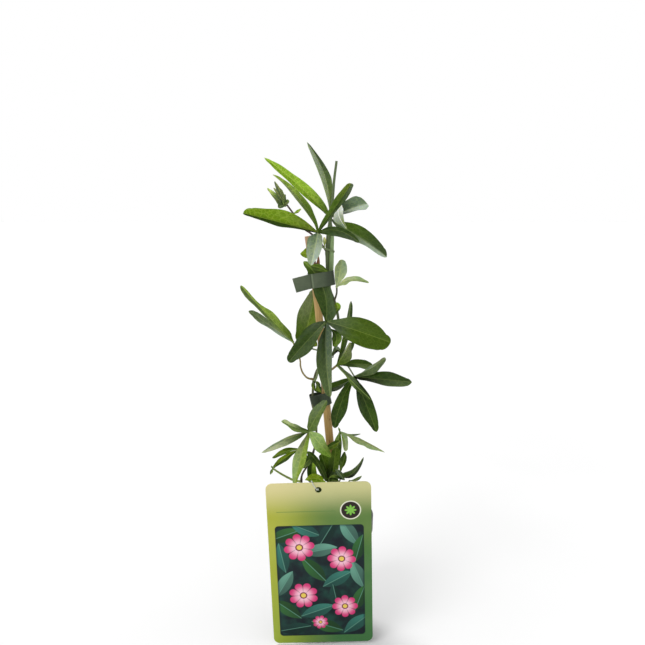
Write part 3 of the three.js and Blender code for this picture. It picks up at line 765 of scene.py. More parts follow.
@dataclass
class LeafMaker:
    """Shapes lobes from flat grids and joins them into leaves."""

    shape: BladeShape
    count: int = 0  # lobes made so far, so that each one ripples in its own way

    def lobe(self, heart: Point, lobe: Lobe) -> tuple[bpy.types.Object, list[Vector]]:
        """One lobe as a single folded sheet with its map and tones.

        Args:
            heart: where the lobe starts, unless it has a start of its own.
            lobe: its shape.

        Returns:
            The sheet, before it gets its thickness, and the line of its midrib's underside.
        """
        self.count += 1
        deselect_all()
        bpy.ops.mesh.primitive_grid_add(
            x_subdivisions=self.shape.columns, y_subdivisions=self.shape.rows, size=2, calc_uvs=True
        )
        sheet = newest()
        start, tip = Vector(lobe.start or heart), Vector(lobe.tip)
        control = 2 * Vector(lobe.via) - (start + tip) / 2
        length = (control - start).length * 0.5 + (tip - start).length * 0.5
        phase = 1.7 * self.count
        keel = self.shape.keel
        slope = math.radians(lobe.fold)
        spots: dict[int, Point] = {}
        ribline: dict[float, Vector] = {}
        for vertex in sheet.data.vertices:
            across = -math.copysign(abs(vertex.co.x) ** 1.25, vertex.co.x)
            share = (vertex.co.y + 1) / 2
            along = 1 - (1 - share) ** 1.6
            base = start.lerp(control, along).lerp(control.lerp(tip, along), along)
            forward = ((control - start) * (1 - along) + (tip - control) * along).normalized()
            side = Vector(lobe.face).cross(forward).normalized()
            up = forward.cross(side)
            half = lobe.half_width(along, 0 if across > 0 else 1)
            lift = (math.sqrt(across * across + keel * keel) - keel) / (math.sqrt(1 + keel * keel) - keel)
            edge = across * across
            ripple = lobe.wave * edge * math.sin(FULL_TURN * lobe.waves * along + phase + 1.3 * across)
            ripple *= math.sin(math.pi * min(1.0, along)) ** 0.7
            ragged = 1 + 0.035 * edge * math.sin(9.0 * along + 2.1 * phase + 2 * across)
            rise = half * (lift * math.sin(slope) + lobe.camber * edge) + ripple
            rise -= self.shape.groove * math.exp(-((across * half / 0.7) ** 2)) * (1 - along)
            spot = base + side * (across * half * ragged * math.cos(slope)) + up * rise
            vertex.co = spot * MM
            spots[vertex.index] = (across, along, half)
            if abs(across) < 1e-6:
                ribline[along] = spot - up * (self.shape.thickness / 2 + 0.05)
        self.mark(sheet, lobe, spots, length)
        return sheet, [ribline[along] for along in sorted(ribline)]

    @staticmethod
    def mark(sheet: bpy.types.Object, lobe: Lobe, spots: dict[int, Point], length: float) -> None:
        """Writes the blade map and the tones of a sheet.

        Args:
            sheet: the lobe's sheet.
            lobe: its description.
            spots: place across, place along and half width of each vertex.
            length: the lobe's length in millimetres.
        """
        layer = sheet.data.uv_layers[0]
        layer.name = BLADE_MAP
        for loop in sheet.data.loops:
            across, along, half = spots[loop.vertex_index]
            layer.data[loop.index].uv = (across * half * MAP_SCALE, along * length * MAP_SCALE)
        for name, tones in ((UPPER_TONE, lobe.tones), (UNDER_TONE, lobe.back)):
            layer = sheet.data.color_attributes.new(name, "FLOAT_COLOR", "POINT")
            for index, (across, along, _half) in spots.items():
                left = 0.5 + 0.5 * max(-1.0, min(1.0, across * 5))
                layer.data[index].color = (*lobe.mixed(tones, left, along), 1)

    def midrib(self, line: list[Vector], finish: bpy.types.Material, tone: Tone) -> bpy.types.Object:
        """The raised midrib on a lobe's underside, fading out towards the tip."""
        kept = line[: int(len(line) * 0.9)]
        rib = tube("midrib", kept, lambda spot, along: self.shape.rib * (1 - along) + 0.1, 1)
        rename_map(rib)
        rib.data.materials.append(finish)
        tint(rib, tone)
        shade_smooth(rib, 60)
        return rib

    def thicken(self, sheet: bpy.types.Object) -> None:
        """Gives joined sheets their thickness, with the underside in the second slot."""
        apply_modifier(
            sheet, "SOLIDIFY", thickness=self.shape.thickness * MM, offset=0, use_rim=True,
            material_offset=1, material_offset_rim=0, use_even_offset=False,
        )

    def leaf(
        self,
        name: str,
        heart: Point,
        lobes: Iterable[Lobe],
        finish: tuple[bpy.types.Material, bpy.types.Material],
        stalk: bpy.types.Object | None = None,
        knob: float = 1.0,
    ) -> bpy.types.Object:
        """A whole leaf: its lobes, its heart and its stalk in one mesh.

        Args:
            name: the object's name.
            heart: where the lobes meet.
            lobes: the lobes.
            finish: the materials of its two sides.
            stalk: the stalk's mesh, or None.
            knob: the radius of the heart, in millimetres.

        Returns:
            The mesh object.
        """
        sheets, ribs, tones = [], [], []
        for lobe in lobes:
            sheet, line = self.lobe(heart, lobe)
            sheet.data.materials.append(finish[0])
            sheet.data.materials.append(finish[1])
            sheets.append(sheet)
            ribs.append(self.midrib(line, finish[1], lobe.back[0]))
            tones.append(lobe.tones[0])
        blades = join(sheets, name)
        self.thicken(blades)
        shade_smooth(blades, 60)
        parts = [blades, *ribs]
        if knob:
            parts.append(self.knob(heart, knob, finish[0], tones[0]))
        if stalk:
            parts.append(stalk)
        return join(parts, name)

    @staticmethod
    def knob(heart: Point, radius: float, finish: bpy.types.Material, tone: Tone) -> bpy.types.Object:
        """The small swelling where lobes and stalk meet."""
        deselect_all()
        bpy.ops.mesh.primitive_ico_sphere_add(subdivisions=2, radius=radius * MM, location=mm(heart))
        ball = newest()
        settle(ball)
        rename_map(ball)
        ball.data.materials.append(finish)
        tint(ball, tone)
        shade_smooth(ball, 60)
        return ball


def rename_map(piece: bpy.types.Object) -> None:
    """Names a piece's map as the blades' map, so that it joins with them."""
    layers = piece.data.uv_layers
    (layers[0] if layers else layers.new()).name = BLADE_MAP
    for spot in layers[0].data:
        spot.uv = (0.05, 0.0)


def tint(piece: bpy.types.Object, tone: Tone) -> None:
    """Paints a whole piece in one tone, on both of its tone layers."""
    for name in (UPPER_TONE, UNDER_TONE):
        layer = piece.data.color_attributes.new(name, "FLOAT_COLOR", "POINT")
        for spot in layer.data:
            spot.color = (*tone.value, 1)


def stalk(points: Sequence[Point], radii: Sequence[float], finish: bpy.types.Material) -> bpy.types.Object:
    """A leaf's stalk along a path, with a small collar at its foot.

    Args:
        points: the points that its middle line passes, in millimetres.
        radii: its radii, evenly spaced from foot to top.
        finish: its skin.

    Returns:
        The mesh object.
    """

    def radius(_spot: Vector, along: float) -> float:
        """The stalk's radius in millimetres, at a place from 0 to 1."""
        return smooth_value(radii, along) + 0.35 * (1 - along) ** 12

    made = tube("stalk", smooth_path(points, 1.5), radius, 2)
    made.data.materials.append(finish)
    rename_map(made)
    shade_smooth(made, 60)
    return made


class Bark(Enum):
    """The skins that stalks and shoots take: display colours at the foot, halfway and at the top."""

    GREEN = ((96, 112, 56), (104, 120, 66), (112, 130, 82))
    DUSK = ((58, 58, 30), (60, 62, 32), (64, 66, 36))
    RUST = ((124, 108, 56), (130, 114, 60), (134, 118, 66))
    PLUM = ((70, 60, 50), (74, 62, 54), (78, 64, 58))
    FRESH = ((160, 180, 96), (150, 172, 92), (136, 162, 108))


@dataclass(frozen=True)
class LeafPlan:
    """A leaf that stands for one CAD node."""

    node: str
    slot: str
    finish: LeafFinish
    stalk: tuple[Point, ...]
    lobes: tuple[Lobe, ...]
    radii: tuple[float, ...] = (0.8, 0.65)  # the stalk's, evenly spaced along it
    bark: Bark = Bark.GREEN


LEAVES = (
    LeafPlan(
        "leaf_top_front", "leaf", MATURE,
        (
            (9.9, 4, 346.9), (6, 0.4, 348.6), (2.2, -2.6, 349.9), (-0.7, -6, 352), (-3, -14, 358),
            (-4, -18, 364)),
        (
            Lobe((-16, -24, 387.8), (-40.5, -26, 411.1), 9.0, (0.15, -0.9, 0.4), 38,
                (Tone.FERN, Tone.GREEN, Tone.SEDGE, Tone.FRESH), fade=(0.3, 0.9), blunt=1.0,
                edges=((5, 10, 29, 59, 83, 94, 88, 66, 33, 8), (20, 43, 59, 77, 100, 92, 80, 82, 76, 54))),
            Lobe((-35.3, -28, 372.7), (-64.3, -34, 379.9), 22.5, (0, -0.76, 0.66), 30,
                (Tone.BLACKISH, Tone.OLIVE, Tone.PINE, Tone.GRASS), wave=0.6, fade=(0.0, 0.5), blunt=0.5,
                edges=((8, 17, 32, 43, 52, 63, 61, 55, 44, 25), (8, 42, 72, 89, 97, 100, 96, 84, 70, 51))),
            Lobe((11.3, -18, 385.7), (24, -14, 404.4), 18.5, (-0.4, -0.75, 0.5), 34,
                (Tone.GREEN, Tone.SHADE, Tone.OLIVE, Tone.MOOR), fade=(0.55, 1.0), blunt=0.5,
                edges=(
                    (10, 21, 31, 38, 44, 49, 51, 49, 44, 36), (10, 27, 46, 62, 68, 68, 83, 99, 100, 76))),
            Lobe((-6.1, -33, 352.1), (-9.2, -36, 338), 14.8, (0, -0.88, 0.48), 8,
                (Tone.MIST, Tone.BLUE, Tone.SILVER, Tone.MIST), wave=0.7,
                edges=(
                    (12, 54, 64, 71, 73, 74, 69, 62, 47, 26), (12, 50, 86, 98, 100, 98, 92, 82, 67, 47))),
            Lobe((13, -28, 365.7), (30.1, -31, 356.2), 12.3, (0.1, -0.85, 0.5), 14,
                (Tone.SHADE, Tone.PINE, Tone.SHADE, Tone.MOOR), fade=(0.3, 0.8),
                edges=(
                    (12, 23, 41, 48, 53, 57, 54, 49, 40, 30), (15, 46, 72, 90, 100, 100, 95, 82, 63, 39)))),
    ),
    LeafPlan(
        "leaf_top_back", "leaf", MATURE,
        (
            (5.6, 3.6, 312), (6.5, 3.4, 317), (7.2, 3.2, 323), (7.4, 3.3, 331.4), (7.7, 4.2, 341),
            (7.8, 5.2, 350.7), (8.2, 6, 359.3), (6.5, 9.5, 376)),
        (
            Lobe((-22.4, 12, 405.5), (-50.5, 12, 427.4), 12.6, (-0.2, -0.85, 0.45), 10,
                (Tone.DEEP, Tone.GREEN, Tone.LIME, Tone.BRIGHT), wave=0.6, fade=(0.0, 0.45), blunt=1.0,
                edges=(
                    (8, 17, 40, 56, 62, 61, 58, 57, 49, 26), (14, 66, 91, 100, 98, 87, 70, 60, 48, 26))),
            Lobe((2.7, 13, 409.3), (-13.2, 14, 440.7), 12.4, (0.2, -0.95, 0.2), 38,
                (Tone.SAGE, Tone.FERN, Tone.MIST, Tone.MOOR), fade=(0.2, 0.9), blunt=1.0,
                edges=(
                    (10, 19, 42, 66, 85, 96, 100, 94, 81, 57), (11, 23, 35, 52, 75, 93, 80, 58, 35, 19))),
            Lobe((24.8, 18, 383.6), (40.1, 25, 387.9), 27.3, (-0.1, -0.6, 0.8), 16,
                (Tone.BLACKISH, Tone.BLACKISH, Tone.BLUE, Tone.SILVER), blunt=0.5,
                edges=((7, 23, 40, 54, 68, 80, 92, 100, 100, 82), (5, 9, 22, 31, 36, 41, 49, 60, 63, 43))),
            Lobe((30.9, 8, 359.7), (56.2, 8, 341.8), 22.7, (0.35, -0.75, 0.55), 18,
                (Tone.GREEN, Tone.GREY, Tone.DARK, Tone.SILVER), fade=(0.35, 0.9),
                edges=((4, 8, 38, 68, 89, 100, 99, 90, 76, 57), (8, 36, 54, 70, 81, 74, 51, 34, 34, 31))),
            Lobe((13.9, 0, 378.5), (20.9, -4, 366.7), 11.6, (-0.3, 0.9, 0.3), 10,
                back=(Tone.SNOW, Tone.SNOW, Tone.SHEEN, Tone.SEDGE), start=(16, 4, 388.3),
                edges=(
                    (10, 19, 34, 48, 62, 82, 100, 81, 49, 26), (16, 70, 86, 87, 82, 74, 62, 51, 39, 26))),
            Lobe((11.6, 6.5, 382.8), (16.4, 3.9, 388.8), 2.6, (-0.3, 0.9, 0.3), 10,
                back=(Tone.PALE, Tone.PALE))),
        radii=(0.3, 1.5, 2.2, 2.3, 2.3, 2.2, 1.9, 1.5, 1.2), bark=Bark.FRESH,
    ),
    LeafPlan(
        "leaf_tie_young", "young_leaf", YOUNG,
        ((9.9, 5, 302.6), (11.5, 1, 307.3), (12.4, -4, 312.2), (12.2, -9.2, 317.6)),
        (
            Lobe((14.7, -11, 329.3), (16.5, -10, 340.8), 11.7, (-0.1, -0.97, 0.15), 8,
                (Tone.SAGE, Tone.PALE, Tone.SEDGE, Tone.SHEEN), blunt=0.5,
                edges=(
                    (13, 26, 43, 58, 70, 80, 83, 81, 67, 45), (10, 20, 40, 61, 79, 93, 100, 97, 89, 66))),
            Lobe((23.9, -12, 323.8), (39.4, -16, 321.7), 8.6, (0, -0.85, 0.5), 24,
                (Tone.CREAM, Tone.PALE, Tone.DUSTY, Tone.SEDGE), wave=0.7,
                edges=(
                    (5, 10, 19, 40, 63, 70, 77, 72, 56, 30), (16, 37, 65, 100, 98, 58, 37, 33, 35, 30)))),
        radii=(0.9, 0.8), bark=Bark.DUSK,
    ),
    LeafPlan(
        "leaf_left_high", "leaf", MATURE,
        (
            (-8.7, -1, 234), (-13.5, -4, 236), (-17.5, -3, 240.3), (-19.5, -2, 246.1), (-19.9, 0, 251.3),
            (-26.2, 2, 267.2)),
        (
            Lobe((-48.3, -6, 292.7), (-70.2, -10, 318.7), 11, (0.3, -0.85, 0.45), 16,
                (Tone.MOSS, Tone.HERB, Tone.FERN, Tone.FRESH), wave=0.4, fade=(0.0, 0.6), blunt=0.5,
                edges=(
                    (10, 15, 20, 28, 40, 51, 55, 58, 71, 66), (16, 87, 95, 89, 100, 95, 56, 30, 26, 28))),
            Lobe((-45.8, 7, 280.3), (-66, 11, 293.6), 8.4, (-0.3, -0.6, 0.75), 24,
                (Tone.SILVER, Tone.SEDGE, Tone.GREY, Tone.GREY), wave=0.6,
                edges=(
                    (20, 41, 56, 66, 73, 79, 91, 100, 88, 52), (21, 45, 52, 60, 66, 72, 79, 86, 90, 78)))),
        bark=Bark.RUST,
    ),
    LeafPlan(
        "leaf_behind_cane", "leaf", MATURE,
        ((6.5, 7.4, 252), (0, 10.5, 256), (-10, 13, 259), (-20, 12, 261)),
        (
            Lobe((-11.5, 11, 287.5), (-7, 12.5, 313.3), 23.3, (-0.3, -0.9, 0.3), 14,
                (Tone.MEADOW, Tone.OLIVE, Tone.MUTED, Tone.GREEN),
                edges=((8, 65, 78, 89, 97, 100, 95, 82, 64, 43), (8, 50, 63, 75, 83, 80, 72, 60, 45, 30))),
            Lobe((-12, 10, 265), (-4.8, 8, 262.2), 9, (0, -0.9, 0.3), 10, (Tone.OLIVE, Tone.OLIVE),
                wave=0.2)),
    ),
    LeafPlan(
        "leaf_centre", "leaf", MATURE,
        ((-7.8, 0.8, 231.5), (-5.4, -5, 236.5), (-2.7, -11, 252), (0.8, -14, 270), (3.2, -16, 288.5)),
        (
            Lobe((0.2, -7.8, 317), (-16.4, -6.5, 339), 17.2, (0, -1, 0), 3,
                (Tone.SHADE, Tone.DARK, Tone.GREEN, Tone.LEAF), wave=0.1, camber=0, fade=(0.6, 1.0),
                edges=(
                    (12, 49, 74, 91, 100, 97, 88, 76, 58, 36), (55, 94, 80, 70, 71, 77, 78, 70, 56, 34))),
            Lobe((-1.9, -9, 333.4), (-10, -9, 335.4), 7, (0, -0.8, 0.6), 10,
                (Tone.HERB, Tone.GREEN, Tone.FIR, Tone.HERB), wave=0.2, start=(5.5, -8.4, 330), foot=0.4,
                blunt=0.5),
            Lobe((30, -30, 282.3), (56.3, -38, 274.1), 26.2, (0.1, -0.85, 0.5), 12,
                (Tone.IVY, Tone.MOOR, Tone.MEADOW, Tone.MEADOW), fade=(0.15, 0.5), blunt=0.5,
                edges=((7, 29, 51, 73, 87, 95, 97, 89, 71, 41), (7, 26, 42, 64, 85, 96, 100, 96, 86, 71))),
            Lobe((-12.4, -28, 274.3), (-28.1, -36, 257.1), 18.7, (-0.25, -0.85, 0.45), 18,
                (Tone.IVY, Tone.MOOR, Tone.DARK, Tone.SHADE), fade=(0.1, 0.5), blunt=0.5,
                edges=(
                    (10, 23, 40, 58, 76, 91, 100, 97, 76, 46), (10, 52, 78, 88, 89, 88, 85, 77, 66, 52))),
            Lobe((3.1, -32, 259.4), (6.6, -38, 227.7), 20.1, (0.25, -0.95, 0.15), 22,
                (Tone.SLATE, Tone.BLACKISH, Tone.GREY, Tone.IVY),
                edges=((9, 46, 53, 54, 53, 50, 46, 40, 33, 22), (9, 18, 48, 75, 92, 100, 97, 84, 68, 48))),
            Lobe((12.2, -14, 274.8), (9.2, -12, 265.8), 9, (0.2, -0.9, 0.4), 10,
                (Tone.PINE, Tone.SHADE, Tone.LEAF, Tone.MEADOW), start=(6.4, -16, 282.1))),
        radii=(0.8, 0.8),
    ),
    LeafPlan(
        "leaf_right_high", "leaf", MATURE,
        ((-4.4, 6.2, 241.5), (1, 7.5, 240), (7, 5, 241), (12.9, 0, 246.4)),
        (
            Lobe((21.2, 3, 274.8), (25.2, 5, 303.5), 7.4, (0.3, -0.9, 0.1), 30,
                (Tone.GREEN, Tone.IVY, Tone.GREY, Tone.DARK), fade=(0.3, 0.9), blunt=1.0,
                edges=(
                    (20, 41, 52, 82, 97, 100, 97, 90, 76, 54), (18, 37, 59, 75, 75, 76, 78, 75, 69, 54))),
            Lobe((22, 1, 257.1), (27.7, 4, 266.6), 6.7, (0.3, -0.9, 0.3), 14,
                (Tone.SHADE, Tone.SHADE, Tone.SHADE, Tone.DARK), wave=0.2,
                edges=(
                    (17, 33, 53, 70, 83, 94, 100, 97, 83, 66), (24, 48, 72, 92, 87, 78, 71, 64, 56, 40))),
            Lobe((19.6, -3, 256.7), (24.3, -5, 268.1), 14.5, (0.3, 0.9, 0.3), 14,
                back=(Tone.HERB, Tone.LEAF, Tone.MUTED, Tone.ASH), wave=0.3,
                edges=(
                    (12, 31, 60, 85, 99, 100, 83, 61, 39, 25), (6, 12, 18, 22, 26, 28, 28, 25, 22, 17))),
            Lobe((29.8, 5, 246.6), (45.3, 12, 243.5), 13.5, (-0.1, -0.7, 0.7), 20,
                (Tone.DEEP, Tone.PINE, Tone.DEEP, Tone.FERN), blunt=0.5,
                edges=((2, 4, 15, 36, 55, 67, 74, 72, 64, 42), (7, 15, 32, 49, 64, 77, 91, 100, 92, 57))),
            Lobe((27.4, -9, 232.7), (43, -16, 218.8), 7.8, (0.3, 0.9, 0.3), 14,
                back=(Tone.MOSS, Tone.GREY, Tone.SHADE, Tone.SHADE),
                edges=(
                    (9, 19, 20, 33, 66, 92, 100, 93, 75, 55), (23, 63, 70, 86, 91, 84, 68, 46, 28, 17)))),
        radii=(1.0, 1.0), bark=Bark.RUST,
    ),
    LeafPlan(
        "leaf_right_low", "leaf", MATURE,
        ((12, 6, 261.5), (16, 10.5, 256), (20.5, 9, 248), (28.6, 2, 235.6)),
        (
            Lobe((54, -8, 235.4), (78, -14, 234.5), 15.2, (0.05, -0.8, 0.6), 18,
                (Tone.PINE, Tone.NIGHT, Tone.SHADE, Tone.IVY), wave=0.8, blunt=1.0,
                edges=(
                    (12, 26, 49, 74, 92, 100, 100, 87, 66, 41), (12, 37, 43, 58, 71, 82, 86, 85, 81, 63))),
            Lobe((43.8, -4, 244.3), (55.1, -10, 254.9), 10.4, (0.55, 0.6, -0.5), 26,
                back=(Tone.IVY, Tone.BLUE, Tone.GREY, Tone.MUTED),
                edges=(
                    (17, 38, 58, 77, 91, 99, 96, 79, 61, 42), (17, 35, 38, 63, 82, 94, 100, 100, 87, 67))),
            Lobe((38.6, -6, 212.4), (47.7, -13, 189.2), 15.1, (0.2, -0.95, 0.25), 12,
                (Tone.BLACKISH, Tone.BLACKISH, Tone.DEEP, Tone.SHADE),
                edges=(
                    (12, 24, 46, 66, 83, 91, 90, 82, 68, 48), (11, 22, 42, 70, 90, 100, 98, 84, 64, 41))),
            Lobe((16.7, -8, 214.8), (10.8, -15, 193.2), 14.0, (-0.15, -0.95, 0.2), 14,
                (Tone.DEEP, Tone.DEEP, Tone.PINE, Tone.SHADE),
                edges=(
                    (12, 24, 39, 55, 74, 90, 100, 97, 78, 48), (13, 37, 50, 61, 71, 80, 87, 87, 74, 47))),
            Lobe((15.4, -7, 230.1), (1.7, -12, 228), 13.3, (-0.3, -0.6, 0.7), 24,
                (Tone.PINE, Tone.DEEP, Tone.BLACKISH, Tone.DEEP),
                edges=(
                    (13, 25, 30, 31, 52, 78, 100, 100, 88, 72), (10, 20, 44, 61, 71, 77, 76, 69, 56, 36)))),
    ),
    LeafPlan(
        "leaf_low_left", "young_leaf", YOUNG,
        ((-5.8, -3, 181), (-7, -9, 183), (-9, -17, 187), (-11.7, -22, 192.9)),
        (
            Lobe((-5.7, -21, 205), (3.7, -20, 219.7), 13.2, (-0.2, -0.9, 0.3), 12,
                (Tone.FERN, Tone.FERN, Tone.GREY, Tone.FERN), wave=0.6,
                edges=(
                    (14, 47, 59, 70, 84, 94, 100, 95, 79, 54), (14, 78, 83, 79, 75, 70, 64, 57, 48, 34))),
            Lobe((-23.6, -25, 197.1), (-35.4, -26, 203.1), 13.4, (0, -0.6, 0.8), 30,
                (Tone.FERN, Tone.DEEP, Tone.MOSS, Tone.PALE), wave=0.6,
                edges=(
                    (13, 65, 81, 94, 100, 95, 80, 57, 37, 24), (9, 19, 28, 33, 37, 39, 40, 43, 49, 44))),
            Lobe((-33.3, -32, 187.1), (-51.5, -40, 179.8), 12.7, (-0.1, -0.7, 0.7), 25,
                (Tone.DEEP, Tone.KHAKI, Tone.ASH, Tone.SHEEN), blunt=1.0,
                edges=((14, 35, 69, 83, 90, 100, 98, 87, 69, 39), (4, 8, 22, 30, 34, 34, 30, 25, 17, 8))),
            Lobe((-18.7, -34, 172.5), (-23.5, -44, 152), 12.6, (-0.1, -0.93, 0.35), 12,
                (Tone.FRESH, Tone.KHAKI, Tone.FRESH, Tone.SOFT), wave=0.6,
                edges=(
                    (14, 38, 50, 61, 72, 77, 73, 56, 35, 22), (10, 20, 45, 65, 86, 100, 99, 85, 66, 43))),
            Lobe((-1.9, -32, 184.2), (7.1, -38, 174.9), 14.4, (0.3, -0.8, 0.5), 15,
                (Tone.SOFT, Tone.SOFT, Tone.HERB, Tone.SPRING), wave=0.6,
                edges=(
                    (12, 43, 76, 87, 87, 77, 66, 53, 41, 29), (12, 33, 56, 74, 91, 100, 99, 81, 57, 33)))),
    ),
    LeafPlan(
        "leaf_low_left_small", "leaf", MATURE, ((-9, -3.2, 166), (-14, -4, 167.5), (-20.7, -6, 171.1)),
        (
            Lobe((-32.4, -12, 171), (-44.5, -16, 166.2), 6.7, (0, -0.75, 0.65), 20,
                (Tone.LEAF, Tone.MEADOW, Tone.MEADOW, Tone.CLOVER),
                edges=(
                    (20, 39, 41, 44, 57, 72, 77, 78, 71, 58), (12, 24, 41, 60, 75, 85, 85, 76, 54, 27))),
            Lobe((-33.1, -14, 165.5), (-43.6, -20, 158.1), 7.6, (0, -0.75, 0.65), 20,
                (Tone.GREEN, Tone.YELLOW, Tone.PINE, Tone.CLOVER),
                edges=((13, 27, 40, 54, 75, 93, 85, 67, 45, 25), (2, 4, 36, 55, 62, 71, 78, 76, 62, 45)))),
    ),
    LeafPlan(
        "leaf_base_yellow", "yellow_leaf", YELLOW, ((12, -8.8, 129), (7, -14, 136), (1.7, -19, 145.2)),
        (
            Lobe((-6.6, -22, 149.6), (-15.4, -23, 148.5), 9, (0, -0.7, 0.7), 16,
                (Tone.LIME, Tone.YELLOW, Tone.GRASS, Tone.YELLOW), peak=0.48, blunt=1.0),),
    ),
)

# Where the leaves of the basal shoot, of the tip shoot's bud and of the low shoot spring from.
SHOOT_END = (15.4, -6, 187.1)
BUD = (-31.6, 0, 386)
LOW_END = (-43.5, -24.4, 159.6)


@dataclass(frozen=True)
class SmallLeaf:
    """A one-lobed leaf on a shoot, with a stalk or straight from the shoot."""

    start: Point
    lobe: Lobe
    stalk: tuple[Point, ...] = ()
    finish: LeafFinish = MATURE


